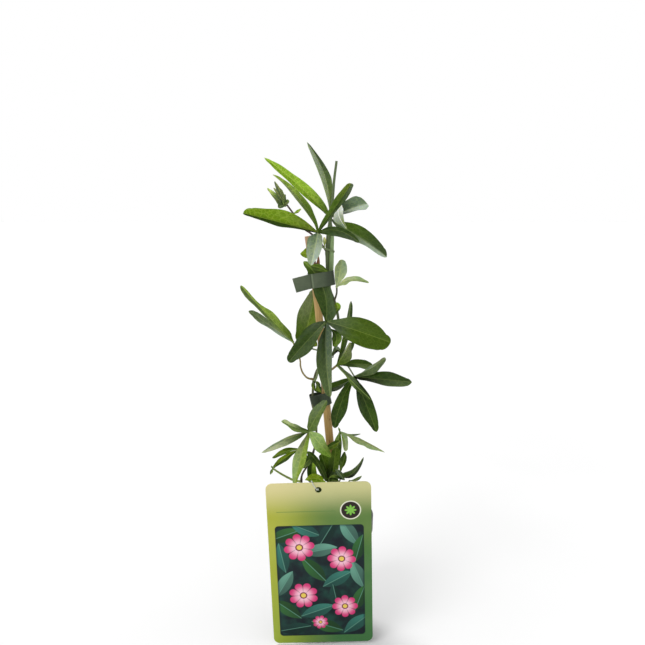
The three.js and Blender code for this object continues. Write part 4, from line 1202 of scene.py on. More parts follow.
BASE_LEAVES = (
    SmallLeaf(SHOOT_END,
        Lobe((33.6, -14, 180.9), (54.4, -22, 173.6), 8.0, (0.1, -0.7, 0.7), 18,
            (Tone.SEDGE, Tone.KHAKI, Tone.KHAKI, Tone.DUSTY), wave=0.4, blunt=1.0,
            edges=((15, 29, 35, 44, 53, 54, 51, 46, 34, 18), (1, 1, 6, 46, 89, 100, 79, 95, 70, 25))),
        (), YOUNG),
    SmallLeaf(SHOOT_END,
        Lobe((24.4, 1, 181.7), (34.6, 4, 181.8), 2.2, (0, -0.6, 0.8), 12,
            (Tone.SOFT, Tone.IVY, Tone.IVY, Tone.DARK), wave=0.2),
        (), YOUNG),
    SmallLeaf(SHOOT_END,
        Lobe((19.9, -11, 180.1), (20.3, -14, 171.7), 7.6, (0.1, -0.9, 0.3), 18,
            (Tone.DUSTY, Tone.LEAF, Tone.SAGE, Tone.SEDGE), wave=0.2,
            edges=((24, 48, 83, 100, 90, 81, 68, 59, 52, 47), (3, 5, 25, 44, 57, 66, 70, 70, 66, 52))),
        (), YOUNG),
    SmallLeaf(SHOOT_END,
        Lobe((13.8, -10, 173.8), (14.8, -12, 157.7), 7.5, (-0.3, -0.8, 0.4), 18,
            (Tone.GREEN, Tone.MOSS, Tone.DEEP, Tone.MOSS),
            edges=((24, 49, 73, 89, 100, 100, 94, 81, 62, 37), (15, 30, 64, 89, 97, 92, 82, 69, 50, 30)))),
    SmallLeaf(SHOOT_END,
        Lobe((15.1, -6, 188.7), (14.1, -6, 191.4), 1.9, (0, -1, 0.1), 10,
            (Tone.HERB, Tone.FIR, Tone.SHEEN, Tone.MOSS), wave=0.1, blunt=1.3),
        (), YOUNG),
    SmallLeaf((15.3, -12, 180.2),
        Lobe((9.4, -16, 177.9), (3.4, -18, 176.1), 7.2, (0, -0.7, 0.7), 18,
            (Tone.OLIVE, Tone.DEEP, Tone.GREEN, Tone.DEEP), wave=0.3,
            edges=((10, 19, 40, 61, 75, 89, 100, 97, 90, 62), (25, 58, 77, 84, 85, 85, 79, 72, 63, 44))),
        ((15.4, -7.2, 173), (15.5, -11, 177.5), (15.3, -12, 180.2))),
    SmallLeaf((8.3, -10, 143.5),
        Lobe((10.3, -13, 160), (12, -13.5, 174.8), 10.4, (0.2, -0.96, 0.1), 14,
            (Tone.BLACKISH, Tone.HERB, Tone.MEADOW, Tone.GREEN), wave=0.3, blunt=0.5,
            edges=((19, 70, 97, 100, 88, 81, 78, 76, 74, 68), (14, 28, 54, 70, 80, 86, 89, 90, 86, 78))),
        ((12.8, -8.5, 141), (8.3, -10, 143.5))),
    SmallLeaf((5.4, -10, 142.5),
        Lobe((2.6, -12, 156.8), (-1.3, -14, 169), 15.4, (-0.1, -0.97, 0.15), 12,
            (Tone.BLACKISH, Tone.NIGHT, Tone.DEEP, Tone.GREEN), wave=0.3, blunt=0.5,
            edges=((12, 25, 30, 34, 38, 41, 42, 42, 41, 37), (10, 19, 40, 56, 71, 85, 96, 100, 95, 73))),
        ((12.4, -8.6, 137), (5.4, -10, 142.5))),
    SmallLeaf((3.6, -10.9, 143),
        Lobe((-4.9, -14, 162), (-13.1, -16, 172), 8.6, (-0.35, -0.9, 0.2), 24,
            (Tone.IVY, Tone.FIR, Tone.FIR, Tone.DEEP), fade=(0.0, 0.5), wave=0.3,
            edges=((21, 65, 70, 70, 64, 76, 97, 100, 89, 61), (21, 64, 81, 85, 89, 90, 82, 70, 57, 38))),
        ((12.2, -8.7, 134), (3.6, -10.9, 143))),
    SmallLeaf((-4.5, -13.4, 165),
        Lobe((-11, -14.6, 164.6), (-17.6, -15.6, 156.2), 8.5, (-0.2, -0.9, 0.4), 16,
            (Tone.DEEP, Tone.DEEP, Tone.FERN, Tone.FIR))),
    SmallLeaf((-9.6, 2, 135),
        Lobe((-9.7, 4, 146.3), (-8.9, 5, 155.2), 10.2, (-0.2, -0.97, 0.1), 12,
            (Tone.PINE, Tone.BLACKISH, Tone.SHADE, Tone.BRIGHT), wave=0.3,
            edges=((18, 72, 82, 84, 85, 87, 88, 82, 75, 55), (18, 87, 100, 100, 97, 90, 83, 75, 67, 58))),
        ((11, -9, 117), (3, -6, 121), (-7, 0, 127), (-9.6, 2, 135))),
    SmallLeaf((-9.6, 2, 135),
        Lobe((-5, -1, 132), (1, -5, 127), 9, (-0.2, -0.9, 0.35), 12, (Tone.BLACKISH, Tone.SHADE))),
    SmallLeaf((15.9, -5, 148.6),
        Lobe((19.1, -3, 159), (20.1, -2, 167), 7.1, (0.3, -0.95, 0.1), 14,
            (Tone.HERB, Tone.MEADOW, Tone.PINE, Tone.MEADOW), wave=0.2,
            edges=((21, 41, 73, 87, 96, 100, 99, 94, 76, 52), (11, 22, 26, 59, 69, 75, 72, 66, 44, 23))),
        ((12.7, -8.5, 142), (15.9, -5, 148.6))),
    SmallLeaf((11.6, -12, 153.7),
        Lobe((14.5, -16, 152.7), (19.3, -19, 146.9), 4.6, (0.2, -0.8, 0.5), 12,
            (Tone.BLUE, Tone.BLUE, Tone.DARK, Tone.SLATE)),
        ((13.4, -8.2, 151), (11.6, -12, 153.7))),
    SmallLeaf((5.4, -13, 145.7),
        Lobe((11.5, -16, 150.4), (19.9, -18, 146.3), 6, (0.1, -0.8, 0.6), 12,
            (Tone.SHADE, Tone.LEAF, Tone.MOOR, Tone.BLACKISH)),
        ((12, -8.7, 131), (8, -11, 136), (5.4, -13, 145.7))),
    SmallLeaf((5, -11.5, 138),
        Lobe((9, -13.5, 144), (14.5, -14.5, 143.5), 7, (0.1, -0.8, 0.6), 12,
            (Tone.FIR, Tone.DARK, Tone.DEEP, Tone.FIR)),
        ((12, -8.7, 129), (8, -10, 132), (5, -11.5, 138))),
    SmallLeaf((16.9, -6, 144.2),
        Lobe((28.2, 4, 144.6), (38, 12, 156.8), 8.5, (-0.2, -0.85, 0.5), 14,
            (Tone.DEEP, Tone.NIGHT, Tone.GREY, Tone.MOOR), wave=0.2, blunt=1.0,
            edges=((21, 94, 100, 100, 94, 81, 67, 49, 31, 18), (5, 10, 31, 59, 73, 67, 60, 54, 47, 34))),
        ((12, -8.7, 133), (14.4, -7.4, 139), (16.9, -6, 144.2))),
    SmallLeaf((24.9, 5, 136.8),
        Lobe((31.5, 9, 136.2), (36.7, 14, 138), 3, (-0.2, -0.8, 0.5), 12,
            (Tone.FIR, Tone.SEDGE, Tone.LEAF, Tone.DARK), wave=0.2, blunt=1.0),
        ((11.8, -9, 127), (19, -3, 132), (24.9, 5, 136.8))),
)

TIP_LEAVES = (
    SmallLeaf(BUD,
        Lobe((-35.7, 0, 396.3), (-40.8, 0, 406.9), 9.3, (0.3, -0.9, 0.1), 24,
            (Tone.GREY, Tone.MUTED, Tone.GREY, Tone.KHAKI), wave=0.8, waves=4,
            edges=((19, 69, 100, 99, 93, 81, 68, 55, 42, 27), (19, 43, 55, 61, 62, 59, 53, 40, 27, 14)))),
    SmallLeaf(BUD,
        Lobe((-41.3, -1, 394.6), (-47.1, -1, 401.2), 7.4, (-0.3, -0.9, 0.2), 24,
            (Tone.MUTED, Tone.FERN, Tone.HAY, Tone.CELERY), wave=0.6, waves=3, fade=(0.4, 0.8),
            edges=((24, 53, 100, 70, 53, 42, 33, 26, 20, 16), (24, 58, 87, 89, 77, 81, 77, 64, 47, 28)))),
    SmallLeaf(BUD,
        Lobe((-32.9, -3, 391.1), (-31.7, -4, 395.9), 4.4, (0.2, -0.95, 0.2), 24,
            (Tone.MOSS, Tone.IVY, Tone.MUTED, Tone.IVY), wave=0.6,
            edges=((14, 28, 61, 93, 83, 70, 64, 57, 37, 22), (28, 55, 86, 96, 100, 100, 96, 88, 73, 49)))),
    SmallLeaf(BUD,
        Lobe((-37.5, -2, 394.9), (-41.7, -3, 401.3), 3.0, (-0.2, -0.95, 0.2), 24,
            (Tone.GREY, Tone.KHAKI, Tone.MUTED, Tone.KHAKI), wave=0.6,
            edges=((33, 65, 100, 98, 93, 86, 69, 49, 32, 23), (16, 31, 52, 65, 76, 85, 88, 88, 84, 56)))),
    SmallLeaf(BUD,
        Lobe((-35, -3, 386.5), (-36.8, -3, 384.2), 5.8, (-0.2, -0.95, 0.2), 24, (Tone.GREY, Tone.IVY),
            wave=0.6,
            edges=((16, 32, 54, 70, 81, 90, 94, 90, 77, 54), (9, 18, 41, 69, 89, 87, 91, 100, 79, 61)))),
    SmallLeaf(BUD,
        Lobe((-30.1, -2, 389.3), (-28.3, -2.6, 390), 4.2, (0.2, -0.95, 0.2), 24,
            (Tone.KHAKI, Tone.MUTED, Tone.MOSS, Tone.MUTED), wave=0.6,
            edges=((7, 13, 27, 43, 61, 82, 98, 100, 75, 31), (11, 23, 46, 62, 69, 72, 75, 79, 82, 81)))),
    SmallLeaf((-25.8, 0, 380),
        Lobe((-21.7, -1, 381.3), (-18.4, -2, 383.8), 3.0, (0, -0.9, 0.4), 20,
            (Tone.GRASS, Tone.GRASS, Tone.BRIGHT, Tone.HAY), wave=0.2,
            edges=((6, 12, 21, 48, 72, 89, 87, 79, 66, 49), (16, 31, 66, 83, 91, 100, 100, 76, 57, 44)))),
    SmallLeaf((-2, 3.6, 353),
        Lobe((-11.9, 6.2, 345.6), (-19.2, 6, 345.4), 11.2, (-0.1, -0.9, 0.3), 14,
            (Tone.YELLOW, Tone.PINE, Tone.GRASS, Tone.YELLOW), wave=0.4,
            edges=((16, 46, 85, 95, 100, 93, 85, 67, 46, 28), (10, 30, 56, 75, 86, 90, 88, 80, 68, 45))),
        (), YELLOW),
)

LOW_LEAVES = (
    SmallLeaf(LOW_END,
        Lobe((-44.3, -26, 157.9), (-45.6, -27, 154.9), 2.6, (0, -0.9, 0.3), 12,
            (Tone.SPRING, Tone.DEEP, Tone.MOSS, Tone.IVY), wave=0.1, blunt=1.1),
        (), YOUNG),
    SmallLeaf(LOW_END,
        Lobe((-44.2, -24.2, 160.8), (-44.6, -24, 162.2), 1.5, (0, -0.9, 0.3), 12,
            (Tone.HERB, Tone.FIR, Tone.LEAF, Tone.IVY), wave=0.1, blunt=1.1),
        (), YOUNG),
)

STEM_LEAVES = (
    SmallLeaf((10.6, 5, 291.9),
        Lobe((13, 2, 297.4), (11.6, 0, 302.5), 6.4, (0.3, -0.95, 0.1), 10,
            (Tone.GREEN, Tone.DEEP, Tone.CLOVER, Tone.BRIGHT), wave=0.1, blunt=0.5)),
    SmallLeaf((9.2, 4, 252.9),
        Lobe((12.1, 3, 259.9), (15.9, 2, 258.1), 5.5, (-0.2, -0.97, 0.1), 14,
            (Tone.DARK, Tone.NIGHT, Tone.SHEEN, Tone.BLACKISH), wave=0.3)),
    SmallLeaf((-8.4, -0.6, 232),
        Lobe((-8.2, -3, 229), (-6.6, -5, 225), 3.8, (-0.1, -0.9, 0.3), 20,
            (Tone.DARK, Tone.GREEN, Tone.SHADE, Tone.OLIVE), wave=0.3)),
    SmallLeaf((-9, -3, 227.8),
        Lobe((-5.5, -5, 225), (-1.5, -6, 224.2), 3.2, (0, -0.9, 0.4), 16, (Tone.GREEN, Tone.SHADE),
            wave=0.3)),
    SmallLeaf((-5.5, -3, 231),
        Lobe((-3.6, -6, 228), (-1.2, -7.5, 223.6), 4.6, (-0.1, -0.95, 0.2), 12,
            (Tone.DARK, Tone.GREEN, Tone.SHADE, Tone.OLIVE), wave=0.2)),
    SmallLeaf((-7, 0, 232),
        Lobe((-4, -3, 230), (-3.4, -5, 225.5), 4, (0.2, -0.9, 0.3), 20,
            (Tone.OLIVE, Tone.MEADOW, Tone.BLACKISH, Tone.BLACKISH), wave=0.3)),
    SmallLeaf((1.9, 2.6, 351.6),
        Lobe((1.7, 1.9, 356), (1.4, 1.4, 359.8), 3.4, (0, -1, 0.1), 30,
            (Tone.FRESH, Tone.HAY, Tone.WHITE, Tone.BUFF), wave=0)),
)


@dataclass(frozen=True)
class StemPlan:
    """A stem's path, radii and joints."""

    path: tuple[Point, ...]
    radii: tuple[float, ...]  # evenly spaced along the path
    joints: tuple[float, ...] = ()
    swell: float = 0.0
    spread: float = 2.6
    bark: Bark = Bark.GREEN

    def radius(self, spot: Vector, along: float) -> float:
        """The radius at a place, in millimetres."""
        bumps = [math.exp(-(((spot.z - height) / self.spread) ** 2)) for height in self.joints]
        return smooth_value(self.radii, along) + self.swell * max(bumps, default=0)


VINE = StemPlan(
    (
        (-12, -8, 93), (-14, -8, 117), (-19, -8, 139), (-18.4, -7, 147), (-13, -5, 156), (-8, -3, 168),
        (-5.4, -3, 188), (-8.2, -2.2, 208), (-8.7, -1.4, 219), (-8, 0.6, 230), (-4.6, 6, 241),
        (6.5, 7.4, 252), (12, 6, 262), (14, 6, 287), (10, 5, 304), (5.8, 3.6, 316), (4.4, 3.6, 331),
        (4.2, 4, 348), (4.9, 4, 361), (8, 4, 384), (10, 3, 408), (12, 3, 424),
    ),
    radii=(1.0, 0.9, 0.9, 1.0, 1.1, 1.15, 1.2, 1.4, 1.65, 1.3, 1.05),
    joints=(142, 165, 181, 231, 261, 302, 346), swell=0.4,
)
BASE_SHOOT = StemPlan(
    ((9, -9, 93), (11, -9, 117), (12.5, -8.6, 139), (13.8, -8, 160), (14.9, -7, 177), SHOOT_END),
    radii=(1.2, 0.75), joints=(123, 139, 155), swell=0.4, spread=2.4,
)
TIP_SHOOT = StemPlan(
    ((4, 3.8, 346), (-2, 3.6, 355), (-10.5, 3, 363), (-15, 1, 366), (-26, 0, 381), (-32, 0, 389)),
    radii=(0.95, 0.8), bark=Bark.PLUM,
)
LOW_SHOOT = StemPlan(
    ((-19, -7.6, 141), (-24.8, -8.2, 142), (-32.5, -12, 147.3), (-38.1, -18, 153.2), (-43.5, -24.4, 159.8)),
    radii=(1.05, 0.85), bark=Bark.FRESH,
)


@dataclass
class Plant:
    """The vine: its stems, shoots and leaves."""

    maker: LeafMaker = field(default_factory=lambda: LeafMaker(BladeShape()))
    small: LeafMaker = field(default_factory=lambda: LeafMaker(BladeShape(rows=16, columns=8, thickness=0.4)))

    def __post_init__(self) -> None:
        """Makes the skins of leaves, stalks and stem."""
        self.sides = {plan.name: plan.both() for plan in (MATURE, YOUNG, YELLOW)}
        self.bark = StemFinish(
            "vine_bark", srgb(58, 46, 34), srgb(78, 80, 42), srgb(82, 100, 56), (0.150, 0.200, 0.330)
        ).material()
        self.barks = {}
        for bark in Bark:
            colours = [srgb(*colour) for colour in bark.value]
            self.barks[bark] = StemFinish(bark.name.lower() + "_stalk", *colours).material()

    def build(self) -> None:
        """Builds and dresses every grown piece."""
        self.build_vine()
        for plan in LEAVES:
            made = self.maker.leaf(
                plan.node + "_blades", plan.stalk[-1], plan.lobes, self.sides[plan.finish.name],
                stalk(plan.stalk, plan.radii, self.barks[plan.bark]), 1.15,
            )
            finish_piece(made, plan.slot, plan.node)
        self.build_shoot("shoot_base", BASE_SHOOT, BASE_LEAVES, "leaf")
        self.build_shoot("shoot_tip_left", TIP_SHOOT, TIP_LEAVES, "young_leaf")
        self.build_shoot("shoot_low_left", LOW_SHOOT, LOW_LEAVES, "young_leaf")

    def stem(self, name: str, plan: StemPlan, finish: bpy.types.Material) -> bpy.types.Object:
        """A stem with its joints."""
        made = tube(name, smooth_path(plan.path, 1.2), plan.radius, 3)
        made.data.materials.append(finish)
        rename_map(made)
        shade_smooth(made, 60)
        return made

    def small_leaves(self, leaves: Iterable[SmallLeaf]) -> list[bpy.types.Object]:
        """The one-lobed leaves of a shoot with their stalks."""
        made = []
        for number, leaf in enumerate(leaves):
            foot = stalk(leaf.stalk, (0.75, 0.6), self.barks[Bark.GREEN]) if leaf.stalk else None
            sides = self.sides[leaf.finish.name]
            made.append(self.small.leaf(f"small_{number}", leaf.start, [leaf.lobe], sides, foot, 0.6))
        return made

    def build_vine(self) -> None:
        """The main stem with the small leaves at its joints."""
        stem = self.stem("vine_stem", VINE, self.bark)
        made = join([stem, *self.small_leaves(STEM_LEAVES)], "vine_stem")
        finish_piece(made, "stem", "vine_main")

    def build_shoot(self, node: str, plan: StemPlan, leaves: Iterable[SmallLeaf], slot: str) -> None:
        """A side shoot with its leaves, in one mesh."""
        stem = self.stem(node + "_stem", plan, self.barks[plan.bark])
        made = join([stem, *self.small_leaves(leaves)], node + "_sprig")
        finish_piece(made, slot, node)


# ------------------------------------------------------------------ pot, soil and cane


@dataclass
class Pot:
    """The round nursery pot, turned from its profile and drilled."""

    rim: float = 46.5
    height: float = 108
    band: float = 14.5
    base: float = 32.5
    shoulder: float = 44
    wall: float = 1.1
    floor: float = 1.8
    drains: int = 8
    drain_radius: float = 3.4
    drain_circle: float = 25

    def profile(self) -> list[tuple[float, float]]:
        """The pot's section from the middle of its base outside, round the rim and back inside."""
        foot = self.height - self.band
        rim, shoulder, base = self.rim, self.shoulder, self.base
        return [
            (0, 0), (base - 4, 0), (base - 1.4, 0), (base - 0.4, 0.4), (base, 1.4),
            (shoulder - 0.6, foot - 4), (shoulder, foot - 1.5), (shoulder + 0.4, foot - 0.6),
            (rim - 0.7, foot), (rim - 0.3, foot + 0.4), (rim - 0.05, self.height - 1.8),
            (rim, self.height - 1), (rim - 0.2, self.height - 0.3), (rim - 0.7, self.height),
            (rim - 2, self.height), (rim - self.wall - 1.2, self.height - 1.4),
            (rim - self.wall - 1.4, foot + 1.4), (shoulder - self.wall, foot - 1),
            (base - self.wall, self.floor + 1.5), (base - self.wall - 1.5, self.floor), (0, self.floor),
        ]

    def build(self) -> None:
        """Spins the profile, drills the drains and dresses the pot."""
        points = [(radius * MM, 0, height * MM) for radius, height in self.profile()]
        mesh = bpy.data.meshes.new("pot_shell")
        mesh.from_pydata(points, [(i, i + 1) for i in range(len(points) - 1)], [])
        shell = stand("pot_shell", mesh)
        edit(shell)
        bpy.ops.mesh.select_all(action="SELECT")
        bpy.ops.mesh.spin(steps=96, angle=FULL_TURN, center=(0, 0, 0), axis=(0, 0, 1))
        edit(shell, "OBJECT")
        clean(shell, 10 * MERGE)
        self.drill(shell)
        shade_smooth(shell, 28)
        paint(shell, PotFinish().material())
        finish_piece(shell, "pot", "pot")

    def drill(self, shell: bpy.types.Object) -> None:
        """Cuts the drains through the base."""
        drills = []
        for k in range(self.drains):
            angle = (k + 0.5) / self.drains * FULL_TURN
            spot = (self.drain_circle * math.cos(angle), self.drain_circle * math.sin(angle), 0)
            deselect_all()
            bpy.ops.mesh.primitive_cylinder_add(
                vertices=28, radius=self.drain_radius * MM, depth=12 * MM, location=mm(spot)
            )
            drills.append(newest())
        cutter = join(drills, "drills")
        settle(cutter)
        apply_modifier(shell, "BOOLEAN", operation="DIFFERENCE", solver="EXACT", object=cutter)
        bpy.data.objects.remove(cutter)


@dataclass
class Soil:
    """The peat: a block with a crumbly mound, loose crumbs, fibres and a few pale grains."""

    edge: float = 98.5
    mound: float = 3.2
    mouth: float = 43.4
    rings: int = 26  # in the top's mesh
    ring: float = 1.62
    taper: float = 0.712  # how far the foot is drawn in
    crumbs: int = 420
    fibres: int = 60
    grains: int = 34
    seed: int = 11

    def surface(self, x: float, y: float) -> float:
        """The height of the peat at a place, in millimetres."""
        reach = min(1.0, math.hypot(x, y) / self.mouth)
        lump = noise.fractal(Vector((x, y, 3.0)) * 0.09, 0.9, 2.1, 5)
        return self.edge + self.mound * math.cos(reach * math.pi / 2) + 1.1 * lump * (1 - reach**6)

    def build(self) -> None:
        """Builds the block, scatters what lies on it and dresses it."""
        peat = PeatFinish("peat", srgb(44, 31, 23), srgb(78, 56, 40)).material()
        fibre = PeatFinish("peat_fibre", srgb(92, 66, 42), srgb(140, 106, 70)).material()
        grain = PeatFinish("pale_grain", srgb(176, 170, 158), srgb(214, 210, 200)).material()
        block = self.block()
        paint(block, peat)
        parts = [block, *self.scatter(peat, fibre, grain)]
        made = join(parts, "peat_bed")
        finish_piece(made, "soil", "soil")

    def block(self) -> bpy.types.Object:
        """The block of peat, with a finely divided top."""
        deselect_all()
        bpy.ops.mesh.primitive_cylinder_add(
            vertices=96, radius=self.mouth * MM, depth=90 * MM, location=mm((0, 0, 52))
        )
        block = newest()
        settle(block)
        edit(block)
        bpy.ops.mesh.select_all(action="DESELECT")
        bpy.ops.mesh.select_mode(type="FACE")
        edit(block, "OBJECT")
        for face in block.data.polygons:
            face.select = face.normal.z > 0.9
        edit(block)
        for _ring in range(self.rings):
            bpy.ops.mesh.inset(thickness=self.ring * MM)
        bpy.ops.mesh.poke()
        edit(block, "OBJECT")
        top = max(vertex.co.z for vertex in block.data.vertices)
        foot = min(vertex.co.z for vertex in block.data.vertices)
        for vertex in block.data.vertices:
            x, y = vertex.co.x / MM, vertex.co.y / MM
            if vertex.co.z > top - 1e-5:
                vertex.co.z = self.surface(x, y) * MM
            elif vertex.co.z < foot + 1e-5:
                vertex.co = Vector((vertex.co.x * self.taper, vertex.co.y * self.taper, 2.1 * MM))
        shade_smooth(block, 50)
        return block

    def scatter(self, *finishes: bpy.types.Material) -> list[bpy.types.Object]:
        """Loose crumbs, fibres and grains on the peat, in that order of finishes."""
        draw = random.Random(self.seed)
        made = []
        for finish, count, sizes, stretch in (
            (finishes[0], self.crumbs, (0.5, 1.7), 1.0),
            (finishes[1], self.fibres, (0.3, 0.6), 5.0),
            (finishes[2], self.grains, (0.4, 0.9), 1.0),
        ):
            for _number in range(count):
                reach = (self.mouth - 2.5) * math.sqrt(draw.random())
                angle = draw.uniform(0, FULL_TURN)
                x, y = reach * math.cos(angle), reach * math.sin(angle)
                size = draw.uniform(*sizes)
                made.append(((x, y, self.surface(x, y) + 0.25 * size), size, stretch, draw.random(), finish))
        groups = []
        for finish in finishes:
            lot = [item for item in made if item[4] == finish]
            groups.append(self.crumb_group(lot, finish))
        return groups

    @staticmethod
    def crumb_group(lot: Sequence[tuple], finish: bpy.types.Material) -> bpy.types.Object:
        """All crumbs of one kind in one mesh, each a turned copy of one rough lump."""
        deselect_all()
        bpy.ops.mesh.primitive_ico_sphere_add(subdivisions=1, radius=1)
        model = newest()
        corners = [vertex.co.copy() for vertex in model.data.vertices]
        faces = [tuple(face.vertices) for face in model.data.polygons]
        bpy.data.objects.remove(model)
        points, polygons = [], []
        for spot, size, stretch, turn, _finish in lot:
            spin = Matrix.Rotation(turn * FULL_TURN, 3, Vector((0.3, 0.2 * turn, 1)).normalized())
            start = len(points)
            for corner in corners:
                rough = 1 + 0.35 * noise.noise(corner * 1.7 + Vector(spot) * 0.7)
                grown = Vector((corner.x * stretch, corner.y, corner.z * 0.8)) * size * rough
                points.append((spin @ grown + Vector(spot)) * MM)
            polygons.extend(tuple(start + corner for corner in face) for face in faces)
        mesh = bpy.data.meshes.new("crumbs")
        mesh.from_pydata(points, [], polygons)
        piece = stand("crumbs", mesh)
        paint(piece, finish)
        return piece


@dataclass
class Cane:
    """The bamboo cane with its joints and its hollow cut top."""

    plan: StemPlan = StemPlan(
        ((13.8, 0, 14), (12.4, 0, 108), (4.8, 0, 196), (-3.9, 0, 299), (-12.3, 0, 360.5)),
        (4.0, 3.3), (68, 238, 344), 0.4, 3.0,
    )
    stub: tuple[Point, ...] = ((-8.5, 0, 330), (-4.6, 0, 334.5), (-3.6, -0.3, 339), (-3.6, -0.5, 343.4))
    # The bore's steps: how far the cap is moved each time, and its width after that.
    bore: tuple[tuple[Point, float], ...] = (((0, 0, 0.2), 0.92), ((0, 0, 0), 0.55), ((0.4, 0, -3), 0.95))

    def radius(self, spot: Vector, along: float) -> float:
        """The radius with a ridge and a fine groove at each joint, in millimetres."""
        reach = self.plan.radius(spot, along)
        for height in self.plan.joints:
            reach -= 0.3 * math.exp(-(((spot.z - height + 1.6) / 0.7) ** 2))
        return reach

    def build(self) -> None:
        """Builds the cane, sinks its bore and dresses it."""
        cane = tube("cane_bamboo", smooth_path(self.plan.path, 1.1), self.radius, 5)
        top = max(cane.data.polygons, key=lambda face: face.center.z).index
        edit(cane)
        bpy.ops.mesh.select_mode(type="FACE")
        bpy.ops.mesh.select_all(action="DESELECT")
        edit(cane, "OBJECT")
        cane.data.polygons[top].select = True
        edit(cane)
        middle = mm(self.plan.path[-1])
        for shift, share in self.bore:
            bpy.ops.mesh.extrude_region_move(TRANSFORM_OT_translate={"value": mm(shift)})
            bpy.ops.transform.resize(value=(share, share, 1), center_override=middle)
        edit(cane, "OBJECT")
        stub = tube("stub", smooth_path(self.stub, 0.8), lambda spot, along: 2.7 - 2.3 * along**1.4, 3)
        cane = join([cane, stub], "cane_bamboo")
        shade_smooth(cane, 45)
        paint(cane, BambooFinish().material())
        finish_piece(cane, "cane", "cane")


# ------------------------------------------------------------------ ties


@dataclass
class Tie:
    """A band of tape round the cane and the stem: its front layer ends over the back layer.

    The back layer comes round on the left, under the front layer's cut end, and may run on as a tail.
    """

    name: str
    node: str
    finish: TapeFinish
    space: tuple[float, float, float, float]  # left, right, front and back of what it holds
    middle: Point
    cut: float  # how far from the left the front layer starts
    tail: float = 0.0
    hollow: float = 0.0  # how far the back layer's left stretch is drawn in
    height: float = 12.5
    tape: float = 0.45
    corner: float = 4.0
    slant: float = 7.5
    twist: float = 0.03

    def turn(self, x: float, y: float, first: float) -> list[Spot]:
        """Points on a quarter turn of the tape about a place, from an angle in degrees."""
        angles = [math.radians(first + 9 * k) for k in range(11)]
        return [(x + self.corner * math.cos(a), y + self.corner * math.sin(a)) for a in angles]

    def outline(self) -> list[Spot]:
        """The tape's path seen from above, from the front layer's cut end round to the other end."""
        left, right, front, back = self.space
        left, right, front, back = left - 0.4, right + 0.4, front - 0.4, back + 0.4
        corner = self.corner
        path = [(left + self.cut + 2.2 * k, front - 0.95 + 0.12 * k) for k in range(3)]
        path += self.turn(right - corner, front + corner, -90)
        path += self.turn(right - corner, back - corner, 0)
        path += self.turn(left + corner, back - corner, 90)
        if self.tail:
            edge = left + self.cut
            path += [(left + 0.2, front + 3.2), (edge + 0.3, front + 1.6), (edge + 0.4, front + 0.7)]
            path += [(edge - 0.3, front + 0.2), (edge - 1.6, front + 0.1), (left - 3, front + 0.2)]
            path += [(left - self.tail * 0.5, front + 0.9), (left - self.tail, front + 2.4)]
            return path
        middle = left + self.cut + 4
        path += [(left, front + corner + self.hollow), (left + 0.6, front + corner * 0.6 + self.hollow)]
        path += [(left + self.cut * 0.5, front + self.hollow * 0.6 + 0.6), (middle, front + 0.1)]
        return path

    def warp(self, band: bpy.types.Object) -> None:
        """Gives the tape its slight unevenness and lets the tail droop."""
        left = (self.space[0] - 0.4) * MM
        for vertex in band.data.vertices:
            share = vertex.co.z / (self.height / 2 * MM)
            x, y = vertex.co.x, vertex.co.y
            vertex.co.y += 0.22 * MM * math.sin(x / MM * 0.42 + 0.6) * share
            vertex.co.z += self.twist * x * (1 if y < 0 else -1)
            if x < left - 0.5 * MM:
                vertex.co.z += 0.12 * (x - left)
                vertex.co.x -= 0.9 * MM * share * min(1.0, (left - x) / (8 * MM))

    def build(self) -> None:
        """Builds the band from its path and dresses it."""
        curve = drawn(self.name, [self.outline()], closed=False)
        curve.fill_mode = "NONE"
        curve.extrude = self.height / 2 * MM
        band = meshed(curve)
        edit(band)
        bpy.ops.mesh.select_all(action="SELECT")
        bpy.ops.mesh.subdivide(number_cuts=3)
        edit(band, "OBJECT")
        self.warp(band)
        apply_modifier(band, "SOLIDIFY", thickness=self.tape * MM, offset=0)
        break_edges(band, 60)
        turn = Matrix.Rotation(math.radians(-self.slant), 4, "Y")
        place(band, Matrix.Translation(mm(self.middle)) @ turn)
        shade_smooth(band, 40)
        paint(band, self.finish.material())
        finish_piece(band, "tie", self.node)


TIES = (
    Tie(
        "tie_upper_tape", "tie_upper",
        TapeFinish("tape_upper", srgb(66, 78, 58), srgb(82, 92, 71), (0.0005, 0.0055), (0.3236, -0.0094)),
        (-10.8, 10.9, -7.6, 7.6), (-1, -2, 323.6), cut=2.6, tail=12.6,
    ),
    Tie(
        "tie_lower_tape", "tie_lower",
        TapeFinish("tape_lower", srgb(50, 60, 44), srgb(74, 92, 66), (0.0005, -0.003)),
        (-9.6, 7.6, -4.6, 4.8), (-0.8, 0, 215.6), cut=8, hollow=0.3, height=11.2, slant=13,
    ),
)


# ------------------------------------------------------------------ label and loop


class Ink(Enum):
    """The inks of the label's picture."""

    NIGHT = srgb(22, 30, 36)
    PINE = srgb(30, 66, 58)
    TEAL = srgb(58, 122, 108)
    MINT = srgb(104, 158, 138)
    GRASS = srgb(52, 104, 52)
    WINE = srgb(112, 20, 62)
    ROSE = srgb(204, 52, 112)
    BLUSH = srgb(236, 150, 184)
    MILK = srgb(244, 232, 232)
    BUTTER = srgb(226, 198, 92)


@dataclass(frozen=True)
class Motif:
    """A leaf or a blossom in the label's picture, in millimetres from the label's middle."""

    across: float
    up: float
    turn: float
    size: float
    slim: float = 1.0
    ink: Ink = Ink.TEAL


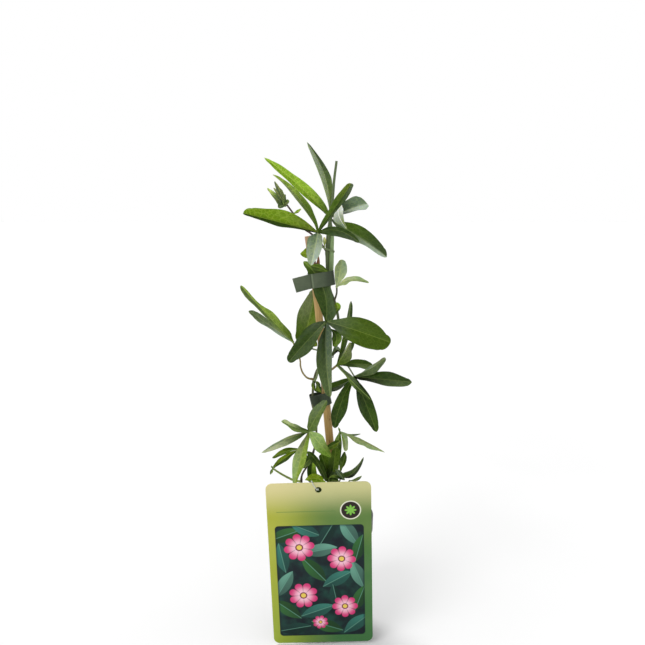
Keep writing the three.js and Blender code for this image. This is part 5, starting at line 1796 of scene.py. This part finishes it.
PICTURE_LEAVES = (
    Motif(-30, 30, 20, 15, 0.42, Ink.GRASS), Motif(-12, 35, 155, 14, 0.4, Ink.TEAL),
    Motif(6, 31, 60, 14, 0.42, Ink.PINE), Motif(25, 32, 120, 15, 0.4, Ink.MINT),
    Motif(33, 16, 75, 14, 0.4, Ink.GRASS), Motif(-33, 8, 100, 15, 0.4, Ink.TEAL),
    Motif(0, 15, 10, 15, 0.42, Ink.MINT), Motif(-6, -4, 130, 16, 0.4, Ink.GRASS),
    Motif(14, -14, 30, 15, 0.42, Ink.TEAL), Motif(32, -10, 110, 15, 0.4, Ink.MINT),
    Motif(-32, -18, 60, 15, 0.4, Ink.MINT), Motif(-30, -44, 140, 15, 0.42, Ink.GRASS),
    Motif(-4, -46, 20, 16, 0.4, Ink.TEAL), Motif(4, -62, 160, 15, 0.42, Ink.GRASS),
    Motif(30, -60, 40, 15, 0.42, Ink.TEAL), Motif(-24, -64, 10, 14, 0.42, Ink.PINE),
    Motif(33, -34, 70, 14, 0.42, Ink.GRASS), Motif(12, -32, 100, 13, 0.42, Ink.PINE),
)
PICTURE_BLOSSOMS = (
    Motif(-18, 18, 10, 13.5), Motif(18, 6, 40, 12.5), Motif(-16, -30, 25, 13), Motif(20, -42, 0, 11.5),
    Motif(-2, -58, 30, 7),
)


class CardPrint(Finish):
    """The label's print: a two-way gradient, a framed picture of garden blossoms, a rule and a seal."""

    window = (-0.3, -16.2, 75.5, 111)  # its middle, width and height
    window_corner = 3.2
    rule = (-36, 14, 52.5)  # its left and right end and its level
    seal = (26.5, 53, 8.6)  # its middle and radius

    def __init__(self, width: float, height: float) -> None:
        """Builds the print for a card of this size, in millimetres."""
        super().__init__("label_print")
        self.card_width, self.card_height = width, height
        self.flat = self.node("ShaderNodeUVMap", uv_map=LABEL_MAP).outputs[0]
        spread = self.node("ShaderNodeSeparateXYZ", {0: self.flat})
        self.x = self.math("MULTIPLY", spread.outputs[0], 1 / MAP_SCALE)
        self.y = self.math("MULTIPLY", spread.outputs[1], 1 / MAP_SCALE)
        window = self.box_mask(self.window, self.window_corner, 0.35)
        colour = self.mix(window, self.card(), self.picture())
        colour = self.seal_mark(self.rule_line(colour))
        scuff = self.noise(40, 3, vector=self.flat)
        self.set(Base_Color=colour, Roughness=self.step(scuff, 0.3, 0.7, 0.34, 0.44), Specular_IOR_Level=0.15)
        self.bump(self.noise(9, 2, vector=self.flat), 0.1, 0.6 * MM)

    def card(self) -> bpy.types.NodeSocket:
        """The card's ground, from cream at the top to greens at the foot."""
        half = self.card_height / 2
        left = self.mix(self.step(self.y, half, half - 34), srgb(214, 204, 148), srgb(168, 172, 60))
        left = self.mix(self.step(self.y, half - 34, -half), left, srgb(146, 164, 54))
        right = self.mix(self.step(self.y, half, half - 34), srgb(197, 194, 138), srgb(86, 119, 58))
        right = self.mix(self.step(self.y, half - 34, -half * 0.2), right, srgb(62, 110, 62))
        sweep = self.step(self.x, -self.card_width * 0.52, self.card_width * 0.16)
        glow = self.noise(2.2, 2, vector=self.flat)
        ground = self.mix(sweep, left, right)
        return self.mix(self.step(glow, 0.35, 0.7, 0.0, 0.05), ground, srgb(222, 220, 160))

    def length(self, first: bpy.types.NodeSocket, second: bpy.types.NodeSocket) -> bpy.types.NodeSocket:
        """The length of a way with these two sides."""
        square = self.math("MULTIPLY", second, second)
        return self.math("SQRT", self.math("MULTIPLY_ADD", first, first, square))

    def box_mask(self, box: Sequence[float], corner: float, soft: float) -> bpy.types.NodeSocket:
        """1 inside a rounded box, 0 outside, with an edge of the given softness."""
        over = []
        for way, middle, size in ((self.x, box[0], box[2]), (self.y, box[1], box[3])):
            off = self.math("ABSOLUTE", self.math("SUBTRACT", way, middle))
            over.append(self.math("SUBTRACT", off, size / 2 - corner))
        reach = self.length(*(self.math("MAXIMUM", value, 0) for value in over))
        inner = self.math("MINIMUM", self.math("MAXIMUM", *over), 0)
        return self.step(self.math("ADD", reach, inner), corner + soft, corner - soft)

    def rays(self, angle: bpy.types.NodeSocket) -> bpy.types.NodeSocket:
        """A value that swells to 1 in eight directions and falls to 0 between them."""
        return self.math("ABSOLUTE", self.math("COSINE", self.math("MULTIPLY", angle, 4.0)))

    def local(self, motif: Motif) -> tuple[bpy.types.NodeSocket, bpy.types.NodeSocket]:
        """A motif's own coordinates, from -1 to 1 along and across it."""
        half = motif.size * MAP_SCALE
        inputs = {
            0: self.flat,
            1: (motif.across * MAP_SCALE, motif.up * MAP_SCALE, 0.0),
            2: (0.0, 0.0, math.radians(motif.turn)),
            3: (half, half * motif.slim, 1.0),
        }
        turned = self.node("ShaderNodeMapping", inputs, vector_type="TEXTURE").outputs[0]
        spread = self.node("ShaderNodeSeparateXYZ", {0: turned})
        return spread.outputs[0], spread.outputs[1]

    def leaf(self, under: bpy.types.NodeSocket, motif: Motif) -> bpy.types.NodeSocket:
        """Lays a pointed leaf with its midrib over a colour."""
        along, across = self.local(motif)
        off = self.math("ABSOLUTE", across)
        inside = self.step(self.math("MULTIPLY_ADD", along, along, off), 1.03, 0.95)
        dark = tuple(c * 0.5 for c in motif.ink.value)
        ink = self.mix(self.step(across, -0.25, 0.3), dark, motif.ink.value)
        ink = self.mix(self.step(along, 1.0, -0.9, 0.0, 0.45), ink, Ink.NIGHT.value)
        ink = self.mix(self.step(off, 0.09, 0.02, 0.0, 0.6), ink, Ink.MINT.value)
        return self.mix(inside, under, ink)

    def blossom(self, under: bpy.types.NodeSocket, motif: Motif) -> bpy.types.NodeSocket:
        """Lays an open blossom with eight round petals over a colour."""
        along, across = self.local(motif)
        reach = self.length(along, across)
        angle = self.math("ARCTAN2", across, along)
        lobes = self.math("POWER", self.rays(angle), 0.5)
        edge = self.math("MULTIPLY_ADD", lobes, 0.34, 0.64)
        inside = self.step(self.math("DIVIDE", reach, edge), 1.03, 0.96)
        streak = self.math("MULTIPLY_ADD", self.math("COSINE", self.math("MULTIPLY", angle, 40.0)), 0.5, 0.5)
        petal = self.mix(self.step(reach, 0.25, 0.95), Ink.BLUSH.value, Ink.ROSE.value)
        petal = self.mix(self.math("MULTIPLY", self.step(lobes, 0.75, 0.1), 0.75), petal, Ink.WINE.value)
        streak = self.math("MULTIPLY", streak, self.step(reach, 0.75, 0.25, 0.0, 0.8))
        petal = self.mix(streak, petal, Ink.MILK.value)
        petal = self.mix(self.step(reach, 0.27, 0.23), petal, Ink.WINE.value)
        petal = self.mix(self.step(reach, 0.19, 0.15), petal, Ink.BUTTER.value)
        return self.mix(inside, under, petal)

    def picture(self) -> bpy.types.NodeSocket:
        """Blossoms over foliage on a dark ground, darker towards the picture's edge."""
        cloud = self.noise(7, 4, vector=self.flat)
        colour = self.mix(self.step(cloud, 0.35, 0.7), Ink.NIGHT.value, Ink.PINE.value)
        for motif in PICTURE_LEAVES:
            colour = self.leaf(colour, motif)
        for motif in PICTURE_BLOSSOMS:
            colour = self.blossom(colour, motif)
        x, y, width, height = self.window
        heart = self.box_mask((x, y, width - 2.2, height - 2.2), self.window_corner, 1.4)
        return self.mix(self.math("MULTIPLY_ADD", heart, -0.75, 0.75), colour, Ink.NIGHT.value)

    def rule_line(self, under: bpy.types.NodeSocket) -> bpy.types.NodeSocket:
        """The thin green rule beside the seal."""
        first, last, level = self.rule
        box = ((first + last) / 2, level, last - first, 0.7)
        return self.mix(self.math("MULTIPLY", self.box_mask(box, 0.3, 0.15), 0.6), under, srgb(84, 124, 62))

    def seal_mark(self, under: bpy.types.NodeSocket) -> bpy.types.NodeSocket:
        """A dark disc in a pale ring, with a plain eight-rayed star."""
        across, up, size = self.seal
        along, side = self.local(Motif(across, up, 0, size))
        reach = self.length(along, side)
        rays = self.rays(self.math("ARCTAN2", side, along))
        edge = self.math("MULTIPLY_ADD", rays, 0.34, 0.24)
        colour = self.mix(self.step(reach, 1.06, 1.0), under, srgb(226, 226, 206))
        colour = self.mix(self.step(reach, 0.95, 0.89), colour, srgb(44, 36, 32))
        return self.mix(self.step(self.math("DIVIDE", reach, edge), 1.05, 0.93), colour, srgb(122, 184, 74))


@dataclass
class Label:
    """The tall printed plastic label, its picture panel and the clear loop through its hole."""

    width: float = 88
    height: float = 158.6
    thickness: float = 0.8
    corner: float = 5.4
    hole: float = 2.75
    hole_drop: float = 6.8
    lean: float = 7
    roll: float = 1.64
    shift: float = -1.4
    middle: float = 80.6
    rim: float = 46.5  # the pot's rim that it leans on, and the height where it touches
    band_foot: float = 94.5
    thread: float = 0.42
    stem_height: float = 137  # where the loop goes round the woody stem

    def frame(self) -> Matrix:
        """The label's own frame: X across, Y behind it and Z up from its middle."""
        lean = math.radians(self.lean)
        touch_y = -(self.rim + SEAT_GAP + self.thickness / 2)
        behind = touch_y + math.tan(lean) * (self.band_foot - self.middle)
        spot = Matrix.Translation(mm((self.shift, behind, self.middle)))
        return spot @ Matrix.Rotation(lean, 4, "X") @ Matrix.Rotation(-math.radians(self.roll), 4, "Y")

    def outlines(self) -> list[list[Spot]]:
        """The card's rounded outline, counter-clockwise, and its punched hole."""
        card = []
        for sign_x, sign_y, first in ((1, -1, -90), (1, 1, 0), (-1, 1, 90), (-1, -1, 180)):
            for k in range(9):
                angle = math.radians(first + 90 * k / 8)
                x = sign_x * (self.width / 2 - self.corner) + self.corner * math.cos(angle)
                y = sign_y * (self.height / 2 - self.corner) + self.corner * math.sin(angle)
                card.append((x, y))
        level = self.height / 2 - self.hole_drop
        angles = [FULL_TURN * k / 32 for k in range(32)]
        return [card, [(self.hole * math.cos(a), level + self.hole * math.sin(a)) for a in angles]]

    def build(self) -> None:
        """Builds the label and its loop."""
        curve = drawn("label_card", self.outlines(), closed=True)
        curve.fill_mode = "BOTH"
        curve.extrude = self.thickness / 2 * MM
        card = meshed(curve)
        clean(card)
        layer = card.data.uv_layers.new(name=LABEL_MAP)
        for loop in card.data.loops:
            spot = card.data.vertices[loop.vertex_index].co
            layer.data[loop.index].uv = (spot.x / MM * MAP_SCALE, spot.y / MM * MAP_SCALE)
        place(card, self.frame() @ Matrix.Rotation(math.radians(90), 4, "X"))
        break_edges(card, 50)
        paint(card, CardPrint(self.width, self.height).material)
        finish_piece(card, "label", "label")
        self.build_loop()

    def on_label(self, across: float, behind: float, up: float) -> Point:
        """A point of the label's frame, in millimetres of the row frame."""
        spot = self.frame() @ mm((across, behind, up))
        return tuple(value / MM for value in spot)

    def build_loop(self) -> None:
        """The clear thread round the woody stem and through the label's hole."""
        top = self.height / 2
        drop = top - self.hole_drop
        line = smooth_path(VINE.path, 1.0)
        stem = next(spot for spot in line if spot.z >= self.stem_height)
        reach = 3.15  # from the stem's middle to the thread's
        path = (
            (stem.x + 0.8 * reach, stem.y - 0.9 * reach, stem.z),
            (stem.x + 0.9 * reach, stem.y + 0.7 * reach, stem.z),
            (stem.x - 0.4 * reach, stem.y + 1.1 * reach, stem.z),
            (stem.x - 1.1 * reach, stem.y, stem.z),
            (stem.x - 0.5 * reach, stem.y - 1.2 * reach, stem.z + 0.3),
            (-13, -32, 143),
            self.on_label(-6, 4.4, top - 4),
            self.on_label(-5.4, 0, top + 1.5),
            self.on_label(-4.2, -1.9, top - 0.8),
            self.on_label(-1.3, -1.8, drop + 1.5),
            self.on_label(0, 0, drop),
            self.on_label(-0.3, 2.4, drop - 0.6),
            (-9, -32, 139.5),
        )
        loop = tube("loop_thread", smooth_path(path, 0.8, True), lambda spot, along: self.thread, 2, True)
        shade_smooth(loop, 60)
        paint(loop, ThreadFinish().material())
        finish_piece(loop, "loop", "tag_loop")


# ------------------------------------------------------------------ studio


@dataclass
class Studio:
    """The pale floor, the soft lights and the camera."""

    camera_spot: Point = (0, -600, 380)
    pitch: float = 9
    focal_share: float = 690 / 645
    floor_size: float = 60
    aim: Point = (0, 0, 0.25)  # where the lights point, in metres

    def build(self) -> None:
        """Sets up everything that isn't part of the object."""
        scene = bpy.context.scene
        scene.view_settings.view_transform = "Standard"
        self.build_camera(scene)
        self.build_floor()
        self.build_lights(scene)

    def build_camera(self, scene: bpy.types.Scene) -> None:
        """The camera, looking level towards the plant and a little down."""
        lens = bpy.data.cameras.new("camera")
        lens.sensor_width = 36
        lens.lens = 36 * self.focal_share
        lens.clip_start = 0.01
        camera = stand("camera", lens)
        camera.location = mm(self.camera_spot)
        camera.rotation_euler = (math.radians(90 - self.pitch), 0, 0)
        scene.camera = camera

    def build_floor(self) -> None:
        """A wide pale floor."""
        deselect_all()
        bpy.ops.mesh.primitive_plane_add(size=self.floor_size, location=(0, 0, 0))
        floor = newest()
        floor.name = "floor"
        f = Finish("floor_paint")
        cloud = f.noise(3, 2)
        colour = f.mix(f.step(cloud, 0.3, 0.7), (0.86, 0.86, 0.86), (0.89, 0.89, 0.89))
        f.set(Base_Color=colour, Roughness=0.9)
        paint(floor, f.material)

    def build_lights(self, scene: bpy.types.Scene) -> None:
        """A soft sun from the upper left, one from behind for the glow in the leaves, and a pale world."""
        self.build_world(scene)
        for name, energy, softness, spot in (
            ("front", 0.9, 30, (-0.5, -0.6, 0.9)),
            ("behind", 1.6, 25, (-0.3, 0.55, 1.0)),
        ):
            sun = bpy.data.lights.new(name, "SUN")
            sun.energy = energy
            sun.angle = math.radians(softness)
            light = stand(name, sun)
            light.location = spot
            to_plant = Vector(self.aim) - Vector(spot)
            light.rotation_euler = to_plant.to_track_quat("-Z", "Y").to_euler()

    @staticmethod
    def build_world(scene: bpy.types.Scene) -> None:
        """A world that is white round the horizon and dimmer overhead."""
        world = bpy.data.worlds.new("studio")
        world.use_nodes = True
        tree = world.node_tree
        sky = tree.nodes["Background"]
        direction = tree.nodes.new("ShaderNodeTexCoord")
        parts = tree.nodes.new("ShaderNodeSeparateXYZ")
        level = tree.nodes.new("ShaderNodeMapRange")
        level.interpolation_type = "SMOOTHSTEP"
        for name, value in (("From Min", 0.3), ("From Max", 0.7), ("To Min", 1.0), ("To Max", 0.45)):
            level.inputs[name].default_value = value
        tree.links.new(direction.outputs["Generated"], parts.inputs[0])
        tree.links.new(parts.outputs[2], level.inputs["Value"])
        tree.links.new(level.outputs[0], sky.inputs["Strength"])
        sky.inputs["Color"].default_value = (1, 1, 1, 1)
        scene.world = world


# ------------------------------------------------------------------ the whole


def main() -> None:
    """Builds the object piece by piece."""
    logging.basicConfig(level=logging.INFO, format="%(name)s: %(message)s")
    Studio().build()
    Pot().build()
    Soil().build()
    Cane().build()
    Plant().build()
    for tie in TIES:
        tie.build()
    Label().build()


if __name__ == "__main__":
    main()
